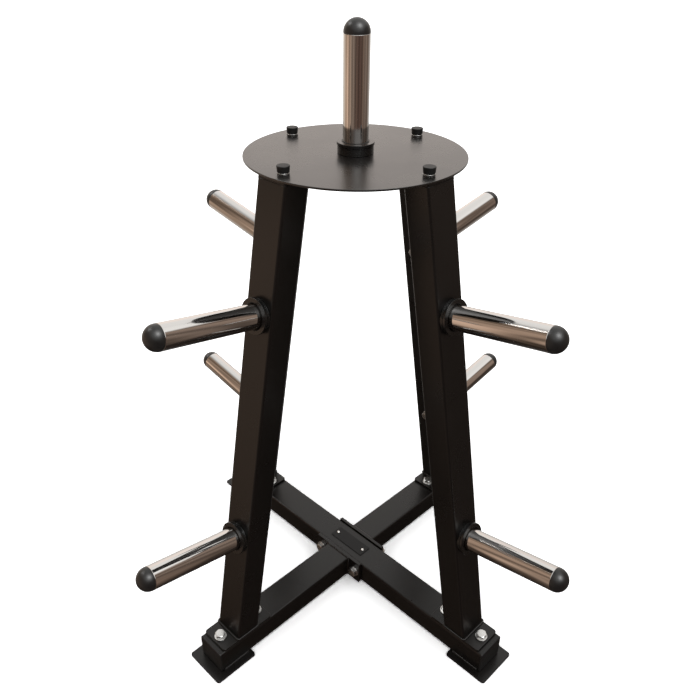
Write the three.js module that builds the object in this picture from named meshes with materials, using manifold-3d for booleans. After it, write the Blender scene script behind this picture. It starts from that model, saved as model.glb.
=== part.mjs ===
// Plate tree: a free-standing rack that stores weight plates with a 50 mm hole.
//
// Millimetres, +Z up, origin on the floor under the upright post. A long main beam lies along X, and two
// half beams are bolted against its sides along Y. Each of the four arms ends on a foot plate and carries
// a leg that leans inwards under a round top plate. Every leg holds two chromed pegs, square to its slanted
// face, and one more stands upright on the top plate.
//
// A peg is a plugged tube drawn against its seat by a through bolt, with a grooved rubber collar round its
// foot and a domed plug in its open end.

import * as THREE from 'three';
import { mergeVertices } from 'three/addons/utils/BufferGeometryUtils.js';
import Module from 'manifold-3d';

const wasm = await Module();
wasm.setup();

// Fits shared by all pieces
const SEAT_GAP = 0.3; // between two faces that rest on each other
const BOLT_CLEARANCE = 0.5; // on the radius, round a bolt in its hole or nut
const PLUG_CLEARANCE = 0.3; // on each side, round a plug in its tube
const OVERRUN = 2; // how far a cut runs past the face it opens

// Rectangular tube, one stock for beams and legs
const TUBE_WIDTH = 76;
const TUBE_DEPTH = 58;
const TUBE_WALL = 3;
const TUBE_CORNER = 5;
const TUBE_INNER_CORNER = 2;

// Foot plates, welded under the beam ends
const FOOT_WIDTH = 110;
const FOOT_LENGTH = 110;
const FOOT_THICKNESS = 5;
const FOOT_CORNER = 7;
const FOOT_OVERHANG = 27.5; // past the cut end of the beam's tube

// Beams
const BEAM_REACH = 455.5; // from the post's axis to the cut end of a beam's tube
const FLANGE_THICKNESS = 8;
const FLANGE_EAR = 40; // past each side of the half beam's tube
const FLANGE_PROUD = 3; // above and below the tube
const FLANGE_CORNER = 3;
const CROSS_BOLT_INSET = 17; // from the flange's upright edge

// Beam end caps
const CAP_THICKNESS = 3.5;
const CAP_BEVEL = 2;
const CAP_PLUG_LENGTH = 10;
const CAP_PLUG_WALL = 2.5;

// Legs
const LEG_SETBACK = 78.5; // from the beam's cut end to the leg's centre line at its foot
const BASE_PLATE_THICKNESS = 6;
const BASE_PLATE_EAR = 40.5; // past the leg's faces, along the beam
const BASE_PLATE_CORNER = 7;
const BASE_BOLT_STANDOFF = 22.5; // from the leg's face to the bolt's axis
const HEAD_PLATE_THICKNESS = 5;
const LOWER_PEG_HEIGHT = 339; // where a peg's axis leaves the leg's outer face
const UPPER_PEG_HEIGHT = 854;

// Round top plate
const TOP_HEIGHT = 1114; // of its upper face
const TOP_RADIUS = 217.5;
const TOP_THICKNESS = 4;
const TOP_BOLT_INSET = 33.5; // from the rim to a bolt's axis, on the leg's centre line

// Pegs and upright post
const PEG_RADIUS = 25;
const PEG_WALL = 3;
const PEG_LENGTH = 219.5;
const POST_LENGTH = 214;
const PEG_PLUG_THICKNESS = 14;

// Domed plugs
const DOME_RIM = 1.5;
const DOME_SPIGOT_LENGTH = 16;

// Rubber collars
const COLLAR_HEIGHT = 13;
const POST_COLLAR_BASE = 9; // what the post's collar is higher
const COLLAR_RADIUS = 35.2;
const COLLAR_LIP = 1.3; // how far the lip stands out
const COLLAR_LIP_HEIGHT = 5.5;
const COLLAR_GROOVE_DEPTH = 1.6;
const COLLAR_GROOVE_WIDTH = 2;
const COLLAR_CLEARANCE = 0.3; // round the peg
const COLLAR_MOUTH_RADIUS = 28; // of the wide end of the bore's countersink
const COLLAR_MOUTH_DEPTH = 2.5;

// Frame bolts, which hold legs, half beams and pegs
const FRAME_BOLT_DIAMETER = 14;
const FRAME_BOLT_FLATS = 21;
const FRAME_BOLT_HEAD = 8.8;
const FRAME_WASHER_DIAMETER = 28;
const FRAME_WASHER_THICKNESS = 2.5;
const FRAME_NUT_HEIGHT = 11;

// Top bolts, which hold the top plate to the legs
const TOP_BOLT_DIAMETER = 10;
const TOP_BOLT_FLATS = 16;
const TOP_BOLT_HEAD = 6.4;
const TOP_WASHER_DIAMETER = 23;
const TOP_WASHER_THICKNESS = 1.2;
const TOP_NUT_HEIGHT = 8;

// How far a bolt's end runs past its nut
const BOLT_END = 3;

// Push-on caps over the top bolts' heads
const BOLT_CAP_HEIGHT = 12.6;
const BOLT_CAP_FOOT_RADIUS = 11.2;
const BOLT_CAP_CROWN_RADIUS = 12.4;
const BOLT_CAP_ROUND = 1.2;
const BOLT_CAP_BORE_RADIUS = 9.7;
const BOLT_CAP_BORE_DEPTH = 7.5;

// Bare name plate on the crossing, with its two rivets
const NAME_PLATE_LENGTH = 110;
const NAME_PLATE_WIDTH = 36;
const NAME_PLATE_THICKNESS = 1.5;
const NAME_PLATE_CORNER = 2;
const RIVET_INSET = 10; // from the plate's short edge
const RIVET_HEAD_RADIUS = 4;
const RIVET_HEAD_HEIGHT = 2;
const RIVET_RADIUS = 2.4;
const RIVET_TAIL = 2; // past the inside of the beam's wall
const RIVET_CLEARANCE = 0.3; // round the shank

// Facets
const ROUND_STEPS = 18;
const BOLT_STEPS = 8;
const WASHER_STEPS = 12;
const TOP_STEPS = 48;
const DOME_STEPS = 4;
const CORNER_STEPS = 3;
const INNER_CORNER_STEPS = 2;

// Levels and radii that follow from the sizes above
const beamBottom = FOOT_THICKNESS;
const beamMiddle = beamBottom + TUBE_DEPTH / 2;
const beamTop = beamBottom + TUBE_DEPTH;
const beamSide = TUBE_WIDTH / 2;
const basePlateBottom = beamTop + SEAT_GAP;
const basePlateTop = basePlateBottom + BASE_PLATE_THICKNESS;
const topUnderside = TOP_HEIGHT - TOP_THICKNESS;
const headPlateTop = topUnderside - SEAT_GAP;
const headPlateBottom = headPlateTop - HEAD_PLATE_THICKNESS;
const legFootRadius = BEAM_REACH - LEG_SETBACK;
const legHeadRadius = TOP_RADIUS - TOP_BOLT_INSET;
const legSlant = Math.atan2(legFootRadius - legHeadRadius, headPlateBottom - basePlateTop);
const legHalfDepth = TUBE_DEPTH / 2 / Math.cos(legSlant); // measured level, across the slanted tube
const baseBoltOffset = legHalfDepth + BASE_BOLT_STANDOFF;
const basePlateLength = (legHalfDepth + BASE_PLATE_EAR) * 2;
const crossBoltOffset = beamSide + FLANGE_EAR - CROSS_BOLT_INSET;
const rivetOffset = NAME_PLATE_LENGTH / 2 - RIVET_INSET;
const footCentre = BEAM_REACH + FOOT_OVERHANG - FOOT_LENGTH / 2;
const pegHeights = { lower: LOWER_PEG_HEIGHT, upper: UPPER_PEG_HEIGHT };
const frameHole = FRAME_BOLT_DIAMETER / 2 + BOLT_CLEARANCE;
const topHole = TOP_BOLT_DIAMETER / 2 + BOLT_CLEARANCE;

// Finishes
const powderCoat = new THREE.MeshStandardMaterial({ color: 0x26211e, roughness: 0.5, metalness: 0.1 });
const chrome = new THREE.MeshStandardMaterial({ color: 0xd9d6d2, roughness: 0.08, metalness: 1 });
const zinc = new THREE.MeshStandardMaterial({ color: 0xc4c5c2, roughness: 0.3, metalness: 1 });
const rubber = new THREE.MeshStandardMaterial({ color: 0x1b1b1b, roughness: 0.7, metalness: 0 });
const blackPlastic = new THREE.MeshStandardMaterial({ color: 0x262626, roughness: 0.42, metalness: 0 });
const plateBlack = new THREE.MeshStandardMaterial({ color: 0x343231, roughness: 0.4, metalness: 0.3 });
for (const finish of [powderCoat, chrome, zinc, rubber, blackPlastic, plateBlack]) {
  finish.flatShading = true;
}

// A solid that can be joined and cut, from a closed geometry.
function toSolid(geometry) {
  const bare = geometry.clone();
  bare.deleteAttribute('normal');
  bare.deleteAttribute('uv');
  const merged = mergeVertices(bare);
  const corners = merged.index.array;
  const kept = [];
  for (let i = 0; i < corners.length; i += 3) {
    const [a, b, c] = corners.slice(i, i + 3);
    if (a !== b && b !== c && c !== a) {
      kept.push(a, b, c);
    }
  }
  return new wasm.Manifold(
    new wasm.Mesh({
      numProp: 3,
      vertProperties: new Float32Array(merged.attributes.position.array),
      triVerts: new Uint32Array(kept),
    }),
  );
}

function toGeometry(solid) {
  const { vertProperties, triVerts, numProp } = solid.getMesh();
  const geometry = new THREE.BufferGeometry();
  const places = new THREE.InterleavedBuffer(vertProperties, numProp);
  geometry.setAttribute('position', new THREE.InterleavedBufferAttribute(places, 3, 0));
  geometry.setIndex(new THREE.BufferAttribute(triVerts, 1));
  const loose = geometry.toNonIndexed();
  loose.computeVertexNormals();
  return loose;
}

function joined(...solids) {
  return solids.reduce((whole, next) => whole.add(next));
}

function cut(solid, ...tools) {
  return tools.reduce((rest, tool) => rest.subtract(tool), solid);
}

function piece(name, solid, finish) {
  const mesh = new THREE.Mesh(toGeometry(solid), finish);
  mesh.name = name;
  return mesh;
}

// A rectangle with round corners, centred on the origin.
function roundedRectangle(sizeX, sizeY, radius) {
  const x = sizeX / 2 - radius;
  const y = sizeY / 2 - radius;
  const quarter = Math.PI / 2;
  const shape = new THREE.Shape();
  shape.absarc(x, y, radius, 0, quarter);
  shape.absarc(-x, y, radius, quarter, quarter * 2);
  shape.absarc(-x, -y, radius, quarter * 2, quarter * 3);
  shape.absarc(x, -y, radius, quarter * 3, quarter * 4);
  shape.closePath();
  return shape;
}

// A shape drawn out upwards between two levels. A round corner gets twice as many steps as its segments.
function prismGeometry(shape, from, to, cornerSteps = CORNER_STEPS) {
  const geometry = new THREE.ExtrudeGeometry(shape, {
    depth: to - from,
    bevelEnabled: false,
    curveSegments: cornerSteps / 2,
  });
  return geometry.translate(0, 0, from);
}

function prism(shape, from, to) {
  return toSolid(prismGeometry(shape, from, to));
}

// Turns a form that was drawn upright so that up becomes +X, and its own X and Y become Y and Z.
const alongX = new THREE.Matrix4().makeBasis(
  new THREE.Vector3(0, 1, 0),
  new THREE.Vector3(0, 0, 1),
  new THREE.Vector3(1, 0, 0),
);

// An upright cylinder on the point (x, y), between two levels.
function rodGeometry(radius, from, to, steps, x = 0, y = 0) {
  const geometry = new THREE.CylinderGeometry(radius, radius, to - from, steps);
  return geometry.rotateX(Math.PI / 2).translate(x, y, (from + to) / 2);
}

function rod(radius, from, to, steps, x = 0, y = 0) {
  return toSolid(rodGeometry(radius, from, to, steps, x, y));
}

function hexagon(acrossFlats, from, to, x = 0, y = 0) {
  return rod(acrossFlats / Math.sqrt(3), from, to, 6, x, y);
}

// A profile of [radius, height] points turned round the Z axis.
function turned(profile, steps = ROUND_STEPS) {
  const points = profile.map(([radius, height]) => new THREE.Vector2(radius, height));
  return toSolid(new THREE.LatheGeometry(points, steps).rotateX(Math.PI / 2));
}

// A bolt with its washer on the level 0 and its shank down to the level -reach.
function boltWithWasher(diameter, flats, head, washerDiameter, washerThickness, reach) {
  const washer = rod(washerDiameter / 2, SEAT_GAP, SEAT_GAP + washerThickness, WASHER_STEPS);
  const hex = hexagon(flats, SEAT_GAP + washerThickness / 2, SEAT_GAP + washerThickness + head);
  const shank = rod(diameter / 2, -reach, SEAT_GAP + washerThickness, BOLT_STEPS);
  return joined(washer, hex, shank);
}

function frameBolt(reach) {
  return boltWithWasher(
    FRAME_BOLT_DIAMETER,
    FRAME_BOLT_FLATS,
    FRAME_BOLT_HEAD,
    FRAME_WASHER_DIAMETER,
    FRAME_WASHER_THICKNESS,
    reach,
  );
}

// Beams. A rectangular tube along X between two places, as its outer block or as its hollow.
function beamBlock(from, to) {
  const section = roundedRectangle(TUBE_WIDTH, TUBE_DEPTH, TUBE_CORNER);
  return toSolid(prismGeometry(section, from, to).applyMatrix4(alongX).translate(0, 0, beamMiddle));
}

function beamHollow(from, to) {
  const section = roundedRectangle(
    TUBE_WIDTH - TUBE_WALL * 2,
    TUBE_DEPTH - TUBE_WALL * 2,
    TUBE_INNER_CORNER,
  );
  const form = prismGeometry(section, from, to, INNER_CORNER_STEPS);
  return toSolid(form.applyMatrix4(alongX).translate(0, 0, beamMiddle));
}

// A foot plate under the end of the beam that points along +X or -X, and the weld between it and the flat
// of the tube, which runs from half way down the plate to half way up the tube's wall.
function footPlate(side) {
  const outline = roundedRectangle(FOOT_LENGTH, FOOT_WIDTH, FOOT_CORNER);
  const plate = toSolid(prismGeometry(outline, 0, beamBottom).translate(side * footCentre, 0, 0));
  const weldStart = footCentre - FOOT_LENGTH / 2 + FOOT_CORNER;
  const weldEnd = BEAM_REACH - FOOT_CORNER;
  const weldHeight = (FOOT_THICKNESS + TUBE_WALL) / 2;
  const weld = new THREE.BoxGeometry(weldEnd - weldStart, TUBE_WIDTH - TUBE_CORNER * 2, weldHeight);
  const level = FOOT_THICKNESS / 2 + weldHeight / 2;
  return joined(plate, toSolid(weld.translate((side * (weldStart + weldEnd)) / 2, 0, level)));
}

// The places along X of the two leg bolts on the arm that points along +X or -X.
function legBoltPlaces(side) {
  return [side * (legFootRadius - baseBoltOffset), side * (legFootRadius + baseBoltOffset)];
}

// Nuts welded under the top wall, for the leg's bolts.
function weldNut(x) {
  const underside = beamTop - TUBE_WALL;
  return hexagon(FRAME_BOLT_FLATS, underside - FRAME_NUT_HEIGHT, underside + TUBE_WALL / 2, x);
}

function weldNutHole(x) {
  const nutBottom = beamTop - TUBE_WALL - FRAME_NUT_HEIGHT;
  return rod(frameHole, nutBottom - OVERRUN, beamTop + OVERRUN, BOLT_STEPS, x);
}

// One beam from its block, with feet and nuts for the arms on the listed sides.
function dressedBeam(block, hollow, sides) {
  const bolts = sides.flatMap(legBoltPlaces);
  const shell = joined(cut(block, hollow), ...bolts.map(weldNut), ...sides.map(footPlate));
  return cut(shell, ...bolts.map(weldNutHole));
}

function crossHole(x) {
  const reach = beamSide + FLANGE_THICKNESS + OVERRUN;
  const hole = rodGeometry(frameHole, -reach, reach, BOLT_STEPS).rotateX(Math.PI / 2);
  return toSolid(hole.translate(x, 0, beamMiddle));
}

function rivetHole(x) {
  const wallBottom = beamTop - TUBE_WALL;
  return rod(RIVET_RADIUS + RIVET_CLEARANCE, wallBottom - OVERRUN, beamTop + OVERRUN, BOLT_STEPS, x);
}

function mainBeam() {
  const block = beamBlock(-BEAM_REACH, BEAM_REACH);
  const hollow = beamHollow(-BEAM_REACH - OVERRUN, BEAM_REACH + OVERRUN);
  const beam = dressedBeam(block, hollow, [1, -1]);
  return cut(
    beam,
    crossHole(crossBoltOffset),
    crossHole(-crossBoltOffset),
    rivetHole(rivetOffset),
    rivetHole(-rivetOffset),
  );
}

// A half beam along +X, with the upright flange that bears on the main beam's side.
function halfBeam() {
  const face = beamSide + SEAT_GAP;
  const tubeStart = face + FLANGE_THICKNESS;
  const block = beamBlock(tubeStart - FLANGE_THICKNESS / 2, BEAM_REACH);
  const hollow = beamHollow(tubeStart, BEAM_REACH + OVERRUN);
  const outline = roundedRectangle(
    TUBE_WIDTH + FLANGE_EAR * 2,
    TUBE_DEPTH + FLANGE_PROUD * 2,
    FLANGE_CORNER,
  );
  const flangeForm = prismGeometry(outline, face, tubeStart).applyMatrix4(alongX);
  const flange = toSolid(flangeForm.translate(0, 0, beamMiddle));
  const holes = [crossBoltOffset, -crossBoltOffset].map((y) => {
    const hole = rodGeometry(frameHole, face - OVERRUN, tubeStart + OVERRUN, BOLT_STEPS);
    return toSolid(hole.applyMatrix4(alongX).translate(0, y, beamMiddle));
  });
  return cut(joined(dressedBeam(block, hollow, [1]), flange), ...holes);
}

// A moulded cap in the end of a beam that points along +X: a plate with a rounded rim, and a hollow plug.
function beamEndCap() {
  const seat = BEAM_REACH + SEAT_GAP;
  const plateForm = new THREE.ExtrudeGeometry(roundedRectangle(TUBE_WIDTH, TUBE_DEPTH, TUBE_CORNER), {
    depth: CAP_THICKNESS - CAP_BEVEL,
    bevelThickness: CAP_BEVEL,
    bevelSize: CAP_BEVEL,
    bevelOffset: -CAP_BEVEL,
    bevelSegments: 2,
    curveSegments: CORNER_STEPS / 2,
  });
  const backForm = new THREE.BoxGeometry(TUBE_WIDTH + OVERRUN, TUBE_DEPTH + OVERRUN, CAP_BEVEL + OVERRUN);
  const back = toSolid(backForm.translate(0, 0, -(CAP_BEVEL + OVERRUN) / 2));
  const plate = cut(toSolid(plateForm), back);
  const inset = (TUBE_WALL + PLUG_CLEARANCE) * 2;
  const plugX = TUBE_WIDTH - inset;
  const plugY = TUBE_DEPTH - inset;
  const plugHollowX = plugX - CAP_PLUG_WALL * 2;
  const plugHollowY = plugY - CAP_PLUG_WALL * 2;
  const plug = prism(
    roundedRectangle(plugX, plugY, TUBE_INNER_CORNER),
    -SEAT_GAP - CAP_PLUG_LENGTH,
    CAP_THICKNESS / 2,
  );
  const well = prism(
    roundedRectangle(plugHollowX, plugHollowY, TUBE_INNER_CORNER),
    -SEAT_GAP - CAP_PLUG_LENGTH - OVERRUN,
    -SEAT_GAP,
  );
  const cap = cut(joined(plate, plug), well);
  const form = toGeometry(cap).applyMatrix4(alongX).translate(seat, 0, beamMiddle);
  return toSolid(form);
}

// Legs. The slanted tube between two levels is an upright prism leant over: its level section is the tube's
// own, stretched along X by the slant, and it slides inwards as it rises.
function leaningPrism(depth, width, radius, from, to, cornerSteps) {
  const lean = Math.tan(legSlant);
  const form = prismGeometry(roundedRectangle(depth, width, radius), from, to, cornerSteps);
  const leant = new THREE.Matrix4().set(
    1 / Math.cos(legSlant), 0, -lean, legFootRadius + basePlateTop * lean,
    0, 1, 0, 0,
    0, 0, 1, 0,
    0, 0, 0, 1,
  );
  return toSolid(form.applyMatrix4(leant));
}

// Places a form drawn upright on the leg's outer face at a height, pointing square out of that face.
function pegPlace(height) {
  const radius = legFootRadius + legHalfDepth - (height - basePlateTop) * Math.tan(legSlant);
  const turn = new THREE.Matrix4().makeRotationY(Math.PI / 2 - legSlant);
  return turn.setPosition(radius, 0, height);
}

function pegHole(height) {
  const form = rodGeometry(frameHole, -TUBE_DEPTH - OVERRUN, OVERRUN, BOLT_STEPS);
  return toSolid(form.applyMatrix4(pegPlace(height)));
}

function leg() {
  const tube = leaningPrism(
    TUBE_DEPTH,
    TUBE_WIDTH,
    TUBE_CORNER,
    basePlateTop - BASE_PLATE_THICKNESS / 2,
    headPlateBottom + HEAD_PLATE_THICKNESS / 2,
    CORNER_STEPS,
  );
  const hollow = leaningPrism(
    TUBE_DEPTH - TUBE_WALL * 2,
    TUBE_WIDTH - TUBE_WALL * 2,
    TUBE_INNER_CORNER,
    basePlateTop,
    headPlateBottom,
    INNER_CORNER_STEPS,
  );
  const baseForm = prismGeometry(
    roundedRectangle(basePlateLength, TUBE_WIDTH, BASE_PLATE_CORNER),
    basePlateBottom,
    basePlateTop,
  );
  const headForm = prismGeometry(
    roundedRectangle(legHalfDepth * 2, TUBE_WIDTH, TUBE_CORNER),
    headPlateBottom,
    headPlateTop,
  );
  const nutBottom = headPlateBottom - TOP_NUT_HEIGHT;
  const nutTop = headPlateBottom + HEAD_PLATE_THICKNESS / 2;
  const shell = joined(
    cut(tube, hollow),
    toSolid(baseForm.translate(legFootRadius, 0, 0)),
    toSolid(headForm.translate(legHeadRadius, 0, 0)),
    hexagon(TOP_BOLT_FLATS, nutBottom, nutTop, legHeadRadius),
  );
  const baseHoles = legBoltPlaces(1).map((x) =>
    rod(frameHole, basePlateBottom - OVERRUN, basePlateTop + OVERRUN, BOLT_STEPS, x),
  );
  return cut(
    shell,
    ...baseHoles,
    rod(topHole, nutBottom - OVERRUN, headPlateTop + OVERRUN, BOLT_STEPS, legHeadRadius),
    ...Object.values(pegHeights).map(pegHole),
  );
}

// Bolts that hold a leg to its beam: down through the base plate and the top wall into the welded nut.
function legBolt() {
  const grip = BASE_PLATE_THICKNESS + SEAT_GAP + TUBE_WALL;
  return frameBolt(grip + FRAME_NUT_HEIGHT + BOLT_END);
}

// Bolts through both flanges and the main beam, drawn upright with the head on top and the nut below.
function crossBolt() {
  const grip = TUBE_WIDTH + (FLANGE_THICKNESS + SEAT_GAP) * 2;
  const washerTop = -grip - SEAT_GAP;
  const washerBottom = washerTop - FRAME_WASHER_THICKNESS;
  const nutBottom = washerBottom - FRAME_NUT_HEIGHT;
  return joined(
    frameBolt(grip + SEAT_GAP + FRAME_WASHER_THICKNESS + FRAME_NUT_HEIGHT + BOLT_END),
    rod(FRAME_WASHER_DIAMETER / 2, washerBottom, washerTop, WASHER_STEPS),
    hexagon(FRAME_BOLT_FLATS, nutBottom, washerBottom + FRAME_WASHER_THICKNESS / 2),
  );
}

// Round top plate
function topPlate() {
  const blank = rod(TOP_RADIUS, topUnderside, TOP_HEIGHT, TOP_STEPS);
  const from = topUnderside - OVERRUN;
  const to = TOP_HEIGHT + OVERRUN;
  const places = [
    [legHeadRadius, 0],
    [-legHeadRadius, 0],
    [0, legHeadRadius],
    [0, -legHeadRadius],
  ];
  const holes = places.map(([x, y]) => rod(topHole, from, to, BOLT_STEPS, x, y));
  return cut(blank, rod(frameHole, from, to, BOLT_STEPS), ...holes);
}

function topBolt() {
  const grip = TOP_THICKNESS + SEAT_GAP + HEAD_PLATE_THICKNESS;
  return boltWithWasher(
    TOP_BOLT_DIAMETER,
    TOP_BOLT_FLATS,
    TOP_BOLT_HEAD,
    TOP_WASHER_DIAMETER,
    TOP_WASHER_THICKNESS,
    grip + TOP_NUT_HEIGHT + BOLT_END,
  );
}

// A cap that widens upwards, open below over the bolt's head and seated on its washer.
function topBoltCap() {
  const foot = SEAT_GAP + TOP_WASHER_THICKNESS + SEAT_GAP;
  const crown = foot + BOLT_CAP_HEIGHT;
  const bore = foot + BOLT_CAP_BORE_DEPTH;
  return turned([
    [0, bore],
    [BOLT_CAP_BORE_RADIUS, bore],
    [BOLT_CAP_BORE_RADIUS, foot],
    [BOLT_CAP_FOOT_RADIUS, foot],
    [BOLT_CAP_CROWN_RADIUS, crown - BOLT_CAP_ROUND],
    [BOLT_CAP_CROWN_RADIUS - BOLT_CAP_ROUND, crown],
    [0, crown],
  ], WASHER_STEPS);
}

// Pegs, drawn upright on the level 0 of their seat. A tube with a thick plug in its foot, and the bolt that
// comes up through what the peg stands on.
function peg(length, grip) {
  const foot = SEAT_GAP;
  const bore = PEG_RADIUS - PEG_WALL;
  const tube = turned([
    [0, foot],
    [PEG_RADIUS, foot],
    [PEG_RADIUS, length],
    [bore, length],
    [bore, foot + PEG_PLUG_THICKNESS],
    [0, foot + PEG_PLUG_THICKNESS],
  ]);
  const washerTop = -grip - SEAT_GAP;
  const washerBottom = washerTop - FRAME_WASHER_THICKNESS;
  return joined(
    tube,
    rod(FRAME_BOLT_DIAMETER / 2, washerBottom, foot + PEG_PLUG_THICKNESS / 2, BOLT_STEPS),
    rod(FRAME_WASHER_DIAMETER / 2, washerBottom, washerTop, WASHER_STEPS),
    hexagon(FRAME_BOLT_FLATS, washerBottom - FRAME_BOLT_HEAD, washerBottom + FRAME_WASHER_THICKNESS / 2),
  );
}

// A half ball on a short rim, with the spigot that fills the tube's mouth.
function dome(length) {
  const seat = length + SEAT_GAP;
  const ballCentre = seat + DOME_RIM;
  const spigot = PEG_RADIUS - PEG_WALL - PLUG_CLEARANCE;
  const end = seat - DOME_SPIGOT_LENGTH;
  const arc = [];
  for (let step = 0; step < DOME_STEPS; step += 1) {
    const angle = (Math.PI / 2) * (step / DOME_STEPS);
    arc.push([PEG_RADIUS * Math.cos(angle), ballCentre + PEG_RADIUS * Math.sin(angle)]);
  }
  return turned([
    [0, end],
    [spigot, end],
    [spigot, seat],
    [PEG_RADIUS, seat],
    ...arc,
    [0, ballCentre + PEG_RADIUS],
  ]);
}

// A rubber ring round the peg's foot: a band, a groove and a lip. Its bore opens like a cone at the top.
function collar(height) {
  const foot = SEAT_GAP;
  const top = foot + height;
  const bore = PEG_RADIUS + COLLAR_CLEARANCE;
  const groove = COLLAR_RADIUS - COLLAR_GROOVE_DEPTH;
  const lip = COLLAR_RADIUS + COLLAR_LIP;
  const lipFoot = top - COLLAR_LIP_HEIGHT;
  return turned([
    [bore, foot],
    [COLLAR_RADIUS, foot],
    [COLLAR_RADIUS, lipFoot - COLLAR_GROOVE_WIDTH],
    [groove, lipFoot - COLLAR_GROOVE_WIDTH / 2],
    [lip, lipFoot],
    [lip, top],
    [COLLAR_MOUTH_RADIUS, top],
    [bore, top - COLLAR_MOUTH_DEPTH],
    [bore, foot],
  ]);
}

// Name plate and rivets
function namePlate() {
  const foot = beamTop + SEAT_GAP;
  const face = foot + NAME_PLATE_THICKNESS;
  const outline = roundedRectangle(NAME_PLATE_LENGTH, NAME_PLATE_WIDTH, NAME_PLATE_CORNER);
  const blank = prism(outline, foot, face);
  const holes = [rivetOffset, -rivetOffset].map((x) =>
    rod(RIVET_RADIUS + RIVET_CLEARANCE, foot - OVERRUN, face + OVERRUN, BOLT_STEPS, x),
  );
  return cut(blank, ...holes);
}

// A rivet, drawn upright on the level 0 of the name plate's upper face, with a low round head.
function rivet() {
  const foot = SEAT_GAP;
  const end = -NAME_PLATE_THICKNESS - SEAT_GAP - TUBE_WALL - RIVET_TAIL;
  const shoulderShare = 0.7;
  return turned([
    [0, end],
    [RIVET_RADIUS, end],
    [RIVET_RADIUS, foot],
    [RIVET_HEAD_RADIUS, foot],
    [RIVET_HEAD_RADIUS * shoulderShare, foot + RIVET_HEAD_HEIGHT * shoulderShare],
    [0, foot + RIVET_HEAD_HEIGHT],
  ], BOLT_STEPS);
}

// Assembly
const plateTree = new THREE.Group();

function addPeg(holder, name, length, grip, collarHeight) {
  holder.add(
    piece(name, peg(length, grip), chrome),
    piece(`${name}_collar`, collar(collarHeight), rubber),
    piece(`${name}_dome`, dome(length), blackPlastic),
  );
}

// Each arm is built along +X and turned to its place round the post.
const ARMS = { front_right: 0, back_right: 1, back_left: 2, front_left: 3 };
for (const [place, quarters] of Object.entries(ARMS)) {
  const arm = new THREE.Group();
  arm.rotation.z = (quarters * Math.PI) / 2;
  arm.add(piece(`${place}_leg`, leg(), powderCoat));
  arm.add(piece(`${place}_beam_cap`, beamEndCap(), blackPlastic));
  if (quarters % 2 === 1) {
    arm.add(piece(`${place}_half_beam`, halfBeam(), powderCoat));
  }

  const [innerBolt, outerBolt] = legBoltPlaces(1);
  for (const [side, x] of Object.entries({ inner: innerBolt, outer: outerBolt })) {
    const bolt = piece(`${place}_leg_bolt_${side}`, legBolt(), zinc);
    bolt.position.set(x, 0, basePlateTop);
    arm.add(bolt);
  }

  for (const [level, height] of Object.entries(pegHeights)) {
    const holder = new THREE.Group();
    holder.applyMatrix4(pegPlace(height));
    addPeg(holder, `${place}_${level}_peg`, PEG_LENGTH, TUBE_DEPTH, COLLAR_HEIGHT);
    arm.add(holder);
  }

  const fixing = new THREE.Group();
  fixing.position.set(legHeadRadius, 0, TOP_HEIGHT);
  fixing.add(piece(`${place}_top_bolt`, topBolt(), zinc));
  fixing.add(piece(`${place}_top_bolt_cap`, topBoltCap(), blackPlastic));
  arm.add(fixing);
  plateTree.add(arm);
}

plateTree.add(piece('main_beam', mainBeam(), powderCoat));
plateTree.add(piece('top_plate', topPlate(), powderCoat));

const post = new THREE.Group();
post.position.z = TOP_HEIGHT;
addPeg(post, 'upright_post', POST_LENGTH, TOP_THICKNESS, COLLAR_HEIGHT + POST_COLLAR_BASE);
plateTree.add(post);

for (const [side, direction] of Object.entries({ left: -1, right: 1 })) {
  const bolt = piece(`cross_bolt_${side}`, crossBolt(), zinc);
  bolt.rotation.x = Math.PI / 2;
  const headSeat = beamSide + SEAT_GAP + FLANGE_THICKNESS;
  bolt.position.set(direction * crossBoltOffset, -headSeat, beamMiddle);
  plateTree.add(bolt);

  const fastener = piece(`name_plate_rivet_${side}`, rivet(), zinc);
  fastener.position.set(direction * rivetOffset, 0, beamTop + SEAT_GAP + NAME_PLATE_THICKNESS);
  plateTree.add(fastener);
}
plateTree.add(piece('name_plate', namePlate(), plateBlack));

export default plateTree;
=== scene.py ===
"""The looks of a plate tree, a free-standing rack for weight plates with a 50 mm hole.

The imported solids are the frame. Fine meshes of the same size and in the same place stand for them: powder
coated tubes and plates with rounded corners and weld beads, chromed pegs, grooved rubber collars, domed
plugs, zinc plated bolts and a bare name plate. Metres, +Z up, origin on the floor under the upright post. +X
is the main beam towards the front right arm. What belongs to an arm is drawn along +X and turned to it.
"""

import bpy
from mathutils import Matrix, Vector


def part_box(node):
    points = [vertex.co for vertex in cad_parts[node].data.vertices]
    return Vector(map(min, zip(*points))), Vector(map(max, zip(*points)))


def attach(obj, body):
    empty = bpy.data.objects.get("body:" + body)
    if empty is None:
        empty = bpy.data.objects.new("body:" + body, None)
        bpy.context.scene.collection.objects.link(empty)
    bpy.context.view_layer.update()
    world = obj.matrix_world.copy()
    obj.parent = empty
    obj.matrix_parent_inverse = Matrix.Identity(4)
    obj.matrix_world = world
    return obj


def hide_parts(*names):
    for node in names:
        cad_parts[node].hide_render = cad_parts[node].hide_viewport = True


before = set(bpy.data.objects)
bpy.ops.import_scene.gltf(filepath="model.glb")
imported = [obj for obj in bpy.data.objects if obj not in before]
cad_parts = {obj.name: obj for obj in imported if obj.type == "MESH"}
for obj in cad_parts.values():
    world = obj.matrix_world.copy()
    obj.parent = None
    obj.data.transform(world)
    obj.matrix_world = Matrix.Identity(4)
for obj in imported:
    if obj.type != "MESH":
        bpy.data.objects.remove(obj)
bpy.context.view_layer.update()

import logging
import math
from collections.abc import Callable
from dataclasses import dataclass
from enum import Enum
from typing import Any

import bmesh
import bpy
import numpy as np
from mathutils import Matrix
from mathutils.geometry import tessellate_polygon

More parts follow.
